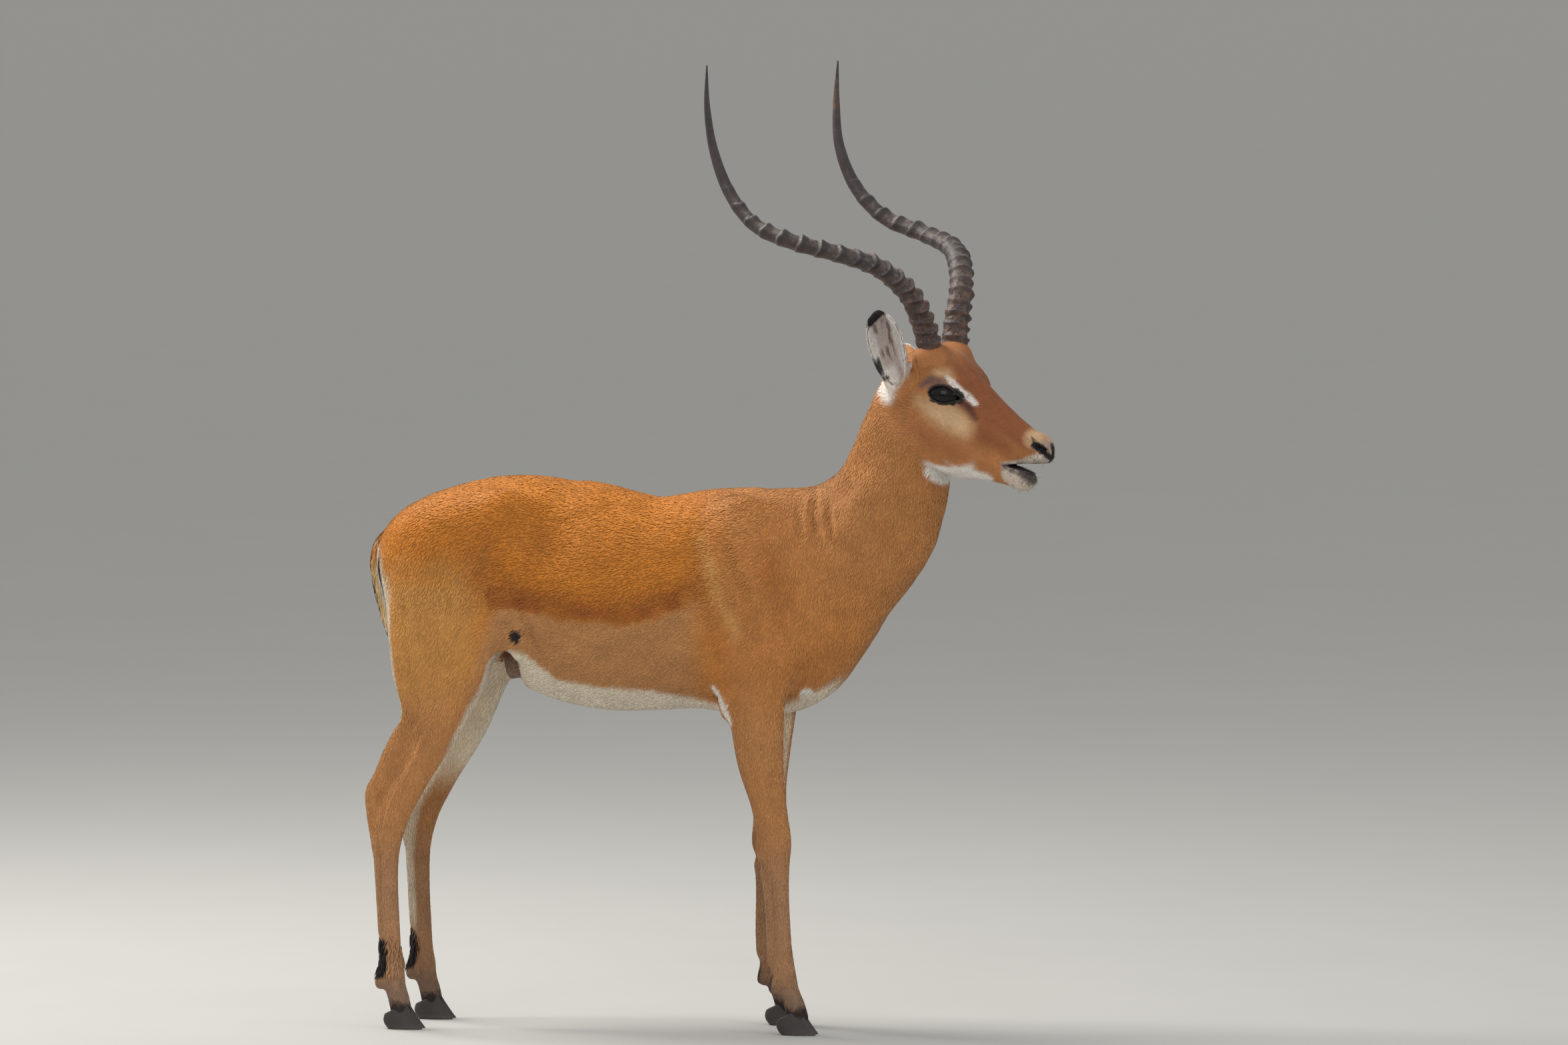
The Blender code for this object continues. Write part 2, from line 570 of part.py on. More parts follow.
def parted(mesh, planes, seed):
    """The piece nearest to the seed, once each plane has cut its far side off."""
    shape = bmesh.new()
    shape.from_mesh(mesh)
    for point, outward in planes:
        outward = Vector(outward).normalized()
        result = bmesh.ops.bisect_plane(
            shape, geom=shape.verts[:] + shape.edges[:] + shape.faces[:], dist=1e-6,
            plane_co=Vector(point) - outward * GAP / 2, plane_no=outward, clear_outer=True)
        rim = [item for item in result["geom_cut"] if isinstance(item, bmesh.types.BMEdge)]
        bmesh.ops.holes_fill(shape, edges=rim, sides=0)
    seed = Vector(seed)
    groups = islands(shape)
    kept = min(groups, key=lambda group: min((v.co - seed).length for v in group))
    bmesh.ops.delete(shape, geom=[v for g in groups if g is not kept for v in g], context="VERTS")
    bmesh.ops.triangulate(shape, faces=shape.faces[:])
    bmesh.ops.dissolve_degenerate(shape, dist=1e-5, edges=shape.edges[:])
    bmesh.ops.triangulate(shape, faces=shape.faces[:])
    bmesh.ops.recalc_face_normals(shape, faces=shape.faces[:])
    cut = bpy.data.meshes.new("part")
    shape.to_mesh(cut)
    shape.free()
    return cut


def lofted(rings):
    """A closed skin over rings of equal point count; the ends are fans."""
    count = len(rings[0])
    vertices = [point for ring in rings for point in ring]
    faces = []
    for level in range(len(rings) - 1):
        for index in range(count):
            a, b = level * count + index, level * count + (index + 1) % count
            faces.append((a, b, b + count, a + count))
    for ring_number, flip in ((0, True), (len(rings) - 1, False)):
        base = ring_number * count
        middle = len(vertices)
        vertices.append(np.mean(rings[ring_number], axis=0))
        for index in range(count):
            a, b = base + index, base + (index + 1) % count
            faces.append((b, a, middle) if flip else (a, b, middle))
    mesh = mesh_from(vertices, faces)
    shape = bmesh.new()
    shape.from_mesh(mesh)
    bmesh.ops.triangulate(shape, faces=shape.faces[:])
    bmesh.ops.recalc_face_normals(shape, faces=shape.faces[:])
    shape.to_mesh(mesh)
    shape.free()
    return mesh


def carved(mesh, cutters):
    """The mesh less each cutter, cut exactly."""
    made = object_from("carving", mesh, "saddle_coat")
    tools = []
    for number, cutter in enumerate(cutters):
        tool = object_from("cutter_%d" % number, cutter, "saddle_coat")
        tool.hide_render = True
        tool.display_type = "WIRE"
        tools.append(tool)
        cut = made.modifiers.new("cut_%d" % number, "BOOLEAN")
        cut.operation = "DIFFERENCE"
        cut.object = tool
    result = baked(made)
    for tool in tools:
        bpy.data.objects.remove(tool)
    return result


# ---- horns, eyes, tongue, hooves ---------------------------------------------
HORN_LINE = [  # forward, sideways, up from the head's origin; thickness there
    (0.060, 0.036, 0.072, 0.0215), (0.057, 0.041, 0.096, 0.0220), (0.052, 0.054, 0.133, 0.0205),
    (0.043, 0.085, 0.183, 0.0190), (0.014, 0.130, 0.226, 0.0178), (-0.030, 0.180, 0.250, 0.0165),
    (-0.096, 0.211, 0.271, 0.0150), (-0.165, 0.208, 0.298, 0.0130), (-0.215, 0.201, 0.348, 0.0110),
    (-0.245, 0.200, 0.415, 0.0085), (-0.254, 0.206, 0.485, 0.0055), (-0.253, 0.209, 0.552, 0.0015),
]
HORN_SIDES = 8
RIDGED_SHARE = 0.62                 # of the horn's length, from the base


def horn_rings(side, grow=0.0, from_share=0.0, to_share=1.0, ridges=True):
    rows = smooth_rows(HORN_LINE, 12)
    points = np.array([head_point(x, side * y, z) for x, y, z, radius in rows])
    travelled = np.concatenate([[0], np.cumsum(np.linalg.norm(np.diff(points, axis=0), axis=1))])
    share_of = travelled / travelled[-1]
    shares = [RIDGED_SHARE * (index / (2 * HORN_RIDGES)) ** 0.93
              for index in range(2 * HORN_RIDGES)]
    shares += list(np.linspace(RIDGED_SHARE, 1.0, 9))
    rings = []
    for number, share in enumerate(shares):
        if not from_share <= share <= to_share:
            continue
        centre = np.array([np.interp(share, share_of, points[:, i]) for i in range(3)])
        ahead = np.array([np.interp(min(1, share + 0.01), share_of, points[:, i]) for i in range(3)])
        behind = np.array([np.interp(max(0, share - 0.01), share_of, points[:, i]) for i in range(3)])
        radius = np.interp(share, share_of, rows[:, 3]) + grow
        along = (ahead - behind) / np.linalg.norm(ahead - behind)
        forward = head_direction(1, side * 0.45, 0.1)
        front = forward - along * forward.dot(along)
        front = front / np.linalg.norm(front)
        sideways = np.cross(along, front)
        ridged = ridges and number < 2 * HORN_RIDGES
        ring = []
        for index in range(HORN_SIDES):
            angle = 2 * math.pi * index / HORN_SIDES
            bump = 0.0
            if ridged:
                facing = 0.35 + 0.65 * (0.5 + 0.5 * math.cos(angle))
                bump = radius * 0.20 * facing * (1 if number % 2 else -0.40)
            ring.append(centre + (front * math.cos(angle) + sideways * math.sin(angle) * 0.86)
                        * (radius + bump))
        rings.append(ring)
    return rings


def ball(centre, radius, long_axis=None, stretch=(1, 1, 1), divisions=3):
    shape = bmesh.new()
    bmesh.ops.create_icosphere(shape, subdivisions=divisions, radius=radius)
    turn = Matrix.Identity(4)
    if long_axis is not None:
        turn = Vector(long_axis).to_track_quat("X", "Z").to_matrix().to_4x4()
    scale = Matrix.Diagonal((*stretch, 1.0))
    bmesh.ops.transform(shape, matrix=Matrix.Translation(Vector(centre)) @ turn @ scale,
                        verts=shape.verts[:])
    mesh = bpy.data.meshes.new("ball")
    shape.to_mesh(mesh)
    shape.free()
    return mesh


def eye_centre(side):
    return head_point(0.0870, side * 0.0445, 0.0215)


def eye_opening(side):
    """A lens that opens the lids over the eyeball."""
    radius = 0.027
    return ball(head_point(0.0890, side * 0.0650, 0.0215), radius,
                head_direction(1, side * -0.27, -0.15), (1.0, 0.46, 0.54), 2)


def tongue_ball(grow):
    half, stretch = 0.026, (1.0, 0.44, 0.17)
    return ball(head_point(0.201, 0.0, -0.0995), half, head_direction(1, 0, -0.28),
                tuple(part + grow / half for part in stretch), 2)


def horn_socket(side):
    """The buried stretch of a horn, grown by the clearance."""
    rings = horn_rings(side, grow=1.6 * GAP, to_share=0.14)
    down = np.mean(rings[0], axis=0) - np.mean(rings[1], axis=0)
    rings[0] = [point + down / np.linalg.norm(down) * 2 * GAP for point in rings[0]]
    return lofted(rings)


def claw_mesh(toe_x, y, lean):
    """One hoof claw: pointed in front, flat below, level at the coronet."""
    length, half_width = 0.060, 0.0092
    outline = [(0.00, 0.30), (0.06, 0.62), (0.25, 0.95), (0.55, 1.00), (0.80, 0.72), (1.00, 0.16)]
    levels = [(0.0, 0.0, 0.0, 1.0), (0.45, 0.004, 0.008, 0.97), (1.0, 0.008, 0.020, 0.88)]
    rings = []
    for share, back, front, narrow in levels:
        start, end = toe_x - length + back, toe_x - front
        height = (CORONET_HEIGHT - GAP) * share
        around = [(along, broad) for along, broad in outline]
        around += [(along, -broad) for along, broad in reversed(outline)]
        rings.append([placed(start + (end - start) * along,
                             y + lean * along + half_width * narrow * broad, height)
                      for along, broad in around])
    return lofted(rings)


def grown(mesh, distance):
    """A copy of the mesh, its surface moved out by the distance."""
    copy = mesh.copy()
    normals = [vertex.normal.copy() for vertex in mesh.vertices]
    for vertex, normal in zip(copy.vertices, normals):
        vertex.co = vertex.co + normal * distance
    copy.update()
    return copy


# ---- where the flesh is parted: each plane is a point and its far side --------
HEAD_CUT = (placed(0.500, -0.028, 0.962), (0.775, 0.0, 0.632))
NECK_CUT = (placed(0.4075, 0.0, 0.773), (0.717, 0.0, 0.697))
CHEST_CUT = (placed(0.150, 0, 0.70), (1, 0, 0))
RUMP_CUT = (placed(-0.100, 0, 0.70), (-1, 0, 0))
THIGH_CUT = (placed(-0.100, 0, 0.550), (-0.185, 0, -0.245))
TAIL_CUT = (placed(-0.3592, 0, 0.760), (-1, 0, -0.27))
TAIL_SIDES = [(placed(0, 0.023, 0), (0, 1, 0)), (placed(0, -0.023, 0), (0, -1, 0)),
              (placed(0, 0, 0.595), (0, 0, -1))]
ELBOW_CUT = (placed(0, 0, 0.500), (0, 0, -1))
MIDLINE = (placed(0, 0, 0), (0, 1, 0))
JAW_CUT = (head_point(0.180, 0, -0.0915), -head_direction(0.15, 0, 1))
EAR_CUTS = {
    RIGHT: (head_point(0.001, -0.064, 0.054), head_direction(-0.35, -0.85, 0.40)),
    LEFT: (head_point(-0.019, 0.064, 0.040), head_direction(-0.55, 0.75, 0.35)),
}


def far_side(plane):
    point, outward = plane
    return point, -np.asarray(outward, float)


def level(height, tilt=0.0, x=0.0):
    return placed(x, 0, height), (-tilt, 0, -1)


def leg_plans(side, name):
    """Name, top plane, bottom plane and seed of each length of a pair of legs."""
    fore_shift = LEFT_FORE_SHIFT if side == LEFT else 0.0
    hind_shift = LEFT_HIND_SHIFT if side == LEFT else 0.0
    half = 0.078 * side
    knee_top, knee_bottom, fetlock_top = level(0.352), level(0.266), level(0.128)
    stifle, hock_top = level(0.500), level(0.405, tilt=0.45, x=-0.305 + hind_shift)
    hock_bottom, coronet = level(0.300), level(CORONET_HEIGHT)
    fore_x, hind_x = 0.29 + fore_shift, -0.32 + hind_shift
    yield name + "forearm", ELBOW_CUT, knee_top, (0.275 + fore_shift / 2, half, 0.43), "leg_coat"
    yield name + "knee", knee_top, knee_bottom, (fore_x, half, 0.31), "leg_coat"
    yield name + "fore_cannon", knee_bottom, fetlock_top, (fore_x, half, 0.20), "leg_coat"
    yield name + "fore_pastern", fetlock_top, coronet, (fore_x + 0.02, half, 0.09), "leg_coat"
    yield name + "gaskin", stifle, hock_top, (-0.265, half, 0.46), "leg_coat"
    yield name + "hock", hock_top, hock_bottom, (hind_x - 0.01, half, 0.35), "leg_coat"
    yield name + "hind_cannon", hock_bottom, fetlock_top, (hind_x - 0.01, half, 0.20), "leg_coat"
    yield name + "hind_pastern", fetlock_top, coronet, (hind_x, half, 0.09), "leg_coat"


def flesh_nodes(body):
    made = {
        "neck": parted(body, [HEAD_CUT, far_side(NECK_CUT)], placed(0.46, -0.01, 0.87)),
        "chest": parted(body, [NECK_CUT, far_side(CHEST_CUT), ELBOW_CUT], placed(0.28, 0, 0.8)),
        "barrel": parted(body, [CHEST_CUT, RUMP_CUT, ELBOW_CUT], placed(0.03, 0, 0.8)),
        "rump": parted(body, [far_side(RUMP_CUT), THIGH_CUT, TAIL_CUT], placed(-0.2, 0, 0.85)),
        "tail": parted(body, [far_side(TAIL_CUT), *TAIL_SIDES], placed(-0.362, 0, 0.70)),
    }
    finishes = {"neck": "saddle_coat", "chest": "saddle_coat", "barrel": "flank_coat",
                "rump": "saddle_coat", "tail": "saddle_coat"}
    for side, name in ((RIGHT, "right_"), (LEFT, "left_")):
        beside = far_side(MIDLINE) if side == LEFT else MIDLINE
        planes = [far_side(THIGH_CUT), far_side(RUMP_CUT), beside, level(0.500)]
        made[name + "thigh"] = parted(body, planes, placed(-0.24, side * 0.09, 0.60))
        finishes[name + "thigh"] = "flank_coat"
        for node, top, bottom, seed, finish in leg_plans(side, name):
            made[node] = parted(body, [far_side(top), bottom], placed(*seed))
            finishes[node] = finish
        made[name + "ear"] = parted(body, [far_side(EAR_CUTS[side])],
                                    head_point(-0.01, side * 0.095, 0.10))
        finishes[name + "ear"] = "ear_skin"
    for node, mesh in made.items():
        object_from(node, mesh, finishes[node])


def head_nodes(body):
    sockets = [tongue_ball(GAP)]
    for side, name in ((RIGHT, "right_"), (LEFT, "left_")):
        sockets += [horn_socket(side), eye_opening(side),
                    ball(eye_centre(side), EYE_RADIUS + GAP, divisions=2)]
        object_from(name + "horn", lofted(horn_rings(side)), "horn")
        object_from(name + "eye", ball(eye_centre(side), EYE_RADIUS, divisions=2), "eye")
    planes = [far_side(HEAD_CUT), JAW_CUT, EAR_CUTS[RIGHT], EAR_CUTS[LEFT]]
    head = parted(body, planes, head_point(0.10, 0, 0.07))
    object_from("head", carved(head, sockets), "face_coat")
    jaw = parted(body, [far_side(HEAD_CUT), far_side(JAW_CUT)], head_point(0.17, 0, -0.125))
    object_from("lower_jaw", carved(jaw, [tongue_ball(GAP)]), "throat_coat")
    object_from("tongue", tongue_ball(0.0), "tongue")


def hoof_nodes():
    feet = {"right_fore": (RIGHT, 0.358, 0.0733), "right_hind": (RIGHT, -0.278, 0.080),
            "left_fore": (LEFT, 0.358 + LEFT_FORE_SHIFT, 0.0733),
            "left_hind": (LEFT, -0.278 + LEFT_HIND_SHIFT, 0.080)}
    for name, (side, toe_x, y) in feet.items():
        for claw, offset in (("outer", side), ("inner", -side)):
            mesh = claw_mesh(toe_x, side * y + offset * 0.0105, offset * 0.003)
            object_from("%s_%s_hoof" % (name, claw), mesh, "hoof")


def scrotum_node(body):
    shape = ball(placed(-0.1385, -0.006, 0.592), 0.031, (0.1, 0, 1), (1.0, 0.52, 0.52), 2)
    cut = carved(shape, [grown(body, 1.5 * GAP)])
    object_from("scrotum", parted(cut, [], placed(-0.138, -0.006, 0.561)), "throat_coat")


def build():
    for old in list(bpy.data.objects):
        bpy.data.objects.remove(old)
    body = thinned(mesh_from(*whole_body()), FLESH_TRIANGLES)
    flesh_nodes(body)
    head_nodes(body)
    hoof_nodes()
    scrotum_node(body)


build()
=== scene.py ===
import math

import bpy
import numpy as np
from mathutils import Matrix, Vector
from mathutils.bvhtree import BVHTree


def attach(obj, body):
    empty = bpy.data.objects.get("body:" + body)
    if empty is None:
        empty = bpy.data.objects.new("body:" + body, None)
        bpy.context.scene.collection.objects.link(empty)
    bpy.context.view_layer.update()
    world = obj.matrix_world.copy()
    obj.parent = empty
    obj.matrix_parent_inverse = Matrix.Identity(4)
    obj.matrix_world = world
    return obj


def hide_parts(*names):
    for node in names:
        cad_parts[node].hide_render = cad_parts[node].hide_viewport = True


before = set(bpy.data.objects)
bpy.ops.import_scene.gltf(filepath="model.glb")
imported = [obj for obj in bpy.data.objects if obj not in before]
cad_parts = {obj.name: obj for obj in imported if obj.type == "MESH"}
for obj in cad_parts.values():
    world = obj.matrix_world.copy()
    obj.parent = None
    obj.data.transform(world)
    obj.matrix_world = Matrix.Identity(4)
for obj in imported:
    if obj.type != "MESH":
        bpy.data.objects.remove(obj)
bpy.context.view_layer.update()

# An impala ram standing still, life size. Metres, +Z up, nose towards +X,
# the animal's right side towards -Y. Body places below are measured from the
# middle of the back at floor level, and stance["place"] moves them to the frame.
stance = {
    "place": np.array([-0.187, -0.023, 0.0]),
    "headAt": np.array([0.506, -0.030, 1.000]),
    "headYaw": math.radians(-21.0),       # turned to its right
    "headRise": 0.03,
    "leftForeShift": -0.042,              # how far each left foot stands from its pair
    "leftHindShift": 0.020,
    "coronetHeight": 0.036,
}
right, left = -1, 1
chance = np.random.default_rng(7)


# frames
def placed(x, y, z):
    return np.array([x, y, z]) + stance["place"]


headForward = np.array([math.cos(stance["headYaw"]), math.sin(stance["headYaw"]), stance["headRise"]])
headLeftward = np.array([-math.sin(stance["headYaw"]), math.cos(stance["headYaw"]), 0.0])
headUpward = np.array([0.0, 0.0, 1.0])


def unit(vector):
    vector = np.asarray(vector, float)
    return vector / np.linalg.norm(vector, axis=-1, keepdims=True)


def headPoint(x, y, z):
    return (stance["place"] + stance["headAt"] + headForward * x + headLeftward * y
            + headUpward * z)


def headDirection(x, y, z):
    return unit(headForward * x + headLeftward * y + headUpward * z)


def headPlaces(points):          # forward, leftward and upward of each point from the head's origin
    away = points - stance["place"] - stance["headAt"]
    forward = away @ (headForward * [1, 1, 0]) / (headForward[:2] @ headForward[:2])
    return np.stack([forward, away @ headLeftward, away[:, 2] - stance["headRise"] * forward], axis=1)


def smoothRows(rows, steps):
    rows = np.asarray(rows, float)
    padded = np.vstack([2 * rows[0] - rows[1], rows, 2 * rows[-1] - rows[-2]])
    result = []
    for index in range(len(rows) - 1):
        a, b, c, d = padded[index:index + 4]
        for step in range(steps):
            t = step / steps
            result.append(0.5 * (2 * b + (c - a) * t + (2 * a - 5 * b + 4 * c - d) * t * t
                                 + (3 * b - a - 3 * c + d) * t ** 3))
    result.append(rows[-1])
    return np.array(result)


def smooth(value, low, high):    # 0 at low and 1 at high, with soft ends; low may be the greater
    t = np.clip((value - low) / (high - low), 0, 1)
    return t * t * (3 - 2 * t)


def between(value, low, top, fall, end):   # 1 from top to fall, with soft sides down to 0
    return smooth(value, low, top) * smooth(value, end, fall)


def bell(value, middle, spread):
    return np.exp(-((value - middle) / spread) ** 2)


def layOver(values, target, amount):       # blends a colour, or a lock's sizes, over those there
    share = np.clip(amount, 0, 1)[..., None]
    values[:] = values * (1 - share) + np.array(target) * share


# the flesh: tubes and muscles run together
def tube(stations, side=(0, 1, 0), blend=0.02, steps=6, egg=0.0, cut=False):
    rows = smoothRows([[*point, depth, width] for point, depth, width in stations], steps)
    rows[:, 3:] = np.maximum(rows[:, 3:], 0.0008)
    return {"kind": "tube", "rows": rows, "side": np.asarray(side, float),
            "blend": blend, "egg": egg, "cut": cut}


def muscle(centre, radii, longAxis, side=(0, 1, 0), blend=0.02, cut=False):
    along = unit(longAxis)
    flat = np.asarray(side, float)
    flat = unit(flat - along * flat.dot(along))
    return {"kind": "muscle", "centre": np.asarray(centre, float), "blend": blend,
            "radii": radii, "frame": (along, np.cross(flat, along), flat), "cut": cut}


def pairs(make):
    return make(right) + make(left)


def trunk():
    back = [  # x, top of the back, bottom line, half width
        (-0.299, 0.800, 0.640, 0.044), (-0.284, 0.824, 0.620, 0.078),
        (-0.245, 0.856, 0.610, 0.100), (-0.165, 0.881, 0.610, 0.110),
        (-0.105, 0.887, 0.585, 0.116), (-0.045, 0.880, 0.528, 0.126),
        (0.025, 0.864, 0.509, 0.137), (0.085, 0.852, 0.510, 0.138),
        (0.150, 0.858, 0.514, 0.128), (0.215, 0.868, 0.508, 0.112),
        (0.285, 0.857, 0.505, 0.098), (0.335, 0.842, 0.545, 0.080),
    ]
    stations = [(placed(x, 0, (top + bottom) / 2), (top - bottom) / 2, width)
                for x, top, bottom, width in back]

    def sided(side):
        return [
            muscle(placed(0.285, side * 0.066, 0.742), (0.130, 0.062, 0.038),
                   (-0.115, 0, 0.22), blend=0.03),              # shoulder blade
            muscle(placed(0.270, side * 0.072, 0.605), (0.092, 0.062, 0.036),
                   (0.13, 0, 0.12), blend=0.025),               # upper arm
            muscle(placed(0.352, side * 0.062, 0.650), (0.046, 0.040, 0.034),
                   (0, 0, 1), blend=0.03),                      # point of shoulder
            muscle(placed(0.382, side * 0.030, 0.628), (0.085, 0.042, 0.034),
                   (0.7, 0, 0.72), blend=0.035),                # breast
            muscle(placed(-0.130, side * 0.086, 0.838), (0.040, 0.024, 0.020),
                   (1, 0, -0.3), blend=0.03),                   # point of hip
            muscle(placed(-0.225, side * 0.052, 0.790), (0.111, 0.066, 0.058),
                   (1, 0, 0.25), blend=0.03),                   # croup
            muscle(placed(-0.305, side * 0.046, 0.748), (0.062, 0.026, 0.030),
                   (0.15, 0, 1), blend=0.025),                  # seat bone
            muscle(placed(-0.130, side * 0.085, 0.650), (0.075, 0.028, 0.014),
                   (0.25, 0, 1), blend=0.03),                   # flank fold
            muscle(placed(-0.055, side * 0.150, 0.800), (0.055, 0.032, 0.028),
                   (0.4, 0, 1), blend=0.035, cut=True),         # hollow of the flank
        ]
    masses = [tube(stations, blend=0.03, steps=6, egg=-0.10)] + pairs(sided)
    masses.append(muscle(placed(-0.360, 0, 0.675), (0.118, 0.029, 0.034),
                         (0.16, 0, -1), blend=0.02, cut=True))  # cleft under the tail
    return masses


def neck():
    line = [  # x, y, z, half depth, half width
        (0.270, 0.000, 0.700, 0.150, 0.098), (0.335, 0.000, 0.732, 0.136, 0.092),
        (0.398, -0.002, 0.768, 0.117, 0.082), (0.446, -0.007, 0.814, 0.103, 0.072),
        (0.474, -0.013, 0.865, 0.090, 0.065), (0.488, -0.020, 0.910, 0.081, 0.060),
        (0.494, -0.026, 0.955, 0.070, 0.055), (0.500, -0.029, 0.995, 0.058, 0.050),
    ]
    stations = [(placed(x, y, z), depth, width) for x, y, z, depth, width in line]

    def sided(side):
        return [muscle(placed(0.430, side * 0.052 - 0.012, 0.800), (0.120, 0.034, 0.026),
                       (0.45, 0, 0.9), blend=0.03)]
    return [tube(stations, blend=0.035, steps=10, egg=0.06)] + pairs(sided)


mouthLine = [  # forward, up and half height of the open mouth, from the head's origin
    (0.178, -0.0912, 0.0006), (0.189, -0.0928, 0.0018), (0.202, -0.0948, 0.0038),
    (0.225, -0.0985, 0.0085), (0.265, -0.1050, 0.0150),
]


def nostrilPlace(side):          # middle and lie of a nostril, from the head's origin
    return (0.2455, side * 0.0190, -0.0650), (1, side * -0.75, -0.95)


def head():
    across = headDirection(0, 1, 0)

    def line(rows):
        return [(headPoint(x, 0, z), depth, width) for x, z, depth, width in rows]
    masses = [
        muscle(headPoint(0.030, 0, 0.026), (0.078, 0.064, 0.052),
               headDirection(1, 0, -0.15), side=across, blend=0.02),    # brain case
        muscle(headPoint(0.062, 0, 0.060), (0.046, 0.036, 0.046),
               headDirection(1, 0, -0.6), side=across, blend=0.02),     # brow between the horns
        tube(line([(0.060, 0.004, 0.078, 0.050), (0.102, -0.016, 0.066, 0.043),
                   (0.145, -0.034, 0.0485, 0.0345), (0.180, -0.049, 0.0370, 0.0285),
                   (0.212, -0.062, 0.0290, 0.0255), (0.232, -0.068, 0.0250, 0.0240)]),
             side=across, blend=0.02, steps=9),                         # muzzle
        muscle(headPoint(0.232, 0, -0.0705), (0.0245, 0.0230, 0.0255),
               headDirection(0.5, 0, -0.87), side=across, blend=0.012),  # nose and upper lip
        tube(line([(0.045, -0.060, 0.040, 0.034), (0.095, -0.078, 0.036, 0.034),
                   (0.140, -0.0935, 0.0235, 0.0265), (0.180, -0.1070, 0.0175, 0.0200),
                   (0.203, -0.1150, 0.0160, 0.0185)]),
             side=across, blend=0.016, steps=9),                        # lower jaw
        muscle(headPoint(0.206, 0, -0.1160), (0.0215, 0.0155, 0.0190),
               headDirection(1, 0, -0.1), side=across, blend=0.01),     # chin
        muscle(headPoint(0.146, 0, -0.0760), (0.056, 0.027, 0.0300),
               headDirection(1, 0, -0.35), side=across, blend=0.012),   # corners of the mouth
    ]

    def sided(side):
        return [
            muscle(headPoint(0.086, side * 0.040, 0.022), (0.038, 0.027, 0.0245),
                   headDirection(1, side * -0.25, -0.25), side=across, blend=0.016),  # orbit
            muscle(headPoint(0.095, side * 0.034, 0.052), (0.034, 0.014, 0.0150),
                   headDirection(1, side * -0.1, -0.85), side=across, blend=0.014),   # brow
            muscle(headPoint(0.078, side * 0.030, -0.050), (0.058, 0.046, 0.0200),
                   headDirection(0.85, 0, -0.5), side=across, blend=0.02),            # cheek
            muscle(headPoint(0.058, side * 0.037, 0.078), (0.028, 0.030, 0.028),
                   headDirection(0, side * 0.2, 1), side=across, blend=0.016),        # horn root
        ]
    masses += pairs(sided)
    mouth = [(headPoint(x, 0, z), depth, 0.050) for x, z, depth in mouthLine]
    masses.append(tube(mouth, side=across, blend=0.003, steps=4, cut=True))

    def nostril(side):
        return [muscle(headPoint(*nostrilPlace(side)[0]), (0.0140, 0.0048, 0.0080),
                       headDirection(*nostrilPlace(side)[1]), side=across, blend=0.003, cut=True),
                muscle(headPoint(0.2330, side * 0.0215, -0.0515), (0.0125, 0.0040, 0.0040),
                       headDirection(1, side * -0.2, -0.9), side=across, blend=0.007)]
    return masses + pairs(nostril)


earShapes = {  # base, tip, opening and bow of each ear, from the head's origin
    right: ((0.007, -0.050, 0.026), (0.003, -0.114, 0.156), (0.42, -0.85, 0.0), 0.005),
    left: ((0.002, 0.050, 0.026), (-0.092, 0.112, 0.088), (-0.30, 0.95, -0.1), 0.008),
}


def earFrame(side):
    base, tip, opening, bow = earShapes[side]
    start, end = headPoint(*base), headPoint(*tip)
    axis = unit(end - start)
    out = headDirection(*opening)
    out = unit(out - axis * out.dot(axis))
    return {"start": start, "end": end, "axis": axis, "out": out,
            "breadth": np.cross(axis, out), "bow": bow}


def ear(side):
    e = earFrame(side)

    def along(fraction, shift):
        return (e["start"] + (e["end"] - e["start"]) * fraction
                + e["out"] * (shift - e["bow"] * 4 * fraction * (1 - fraction)))
    outer = [(along(f, 0.0), thick, broad) for f, thick, broad in [
        (0.00, 0.018, 0.018), (0.16, 0.018, 0.0205), (0.36, 0.0165, 0.0255),
        (0.60, 0.0150, 0.0285), (0.80, 0.0120, 0.0240), (0.92, 0.0090, 0.0165),
        (0.98, 0.0060, 0.0090)]]
    scoop = [(along(f, 0.010), thick, broad) for f, thick, broad in [
        (0.16, 0.0070, 0.0080), (0.30, 0.0150, 0.0170), (0.60, 0.0165, 0.0235),
        (0.78, 0.0140, 0.0190), (0.88, 0.0100, 0.0120), (0.92, 0.0060, 0.0070)]]
    return [tube(outer, side=e["breadth"], blend=0.014),
            tube(scoop, side=e["breadth"], blend=0.005, cut=True)]


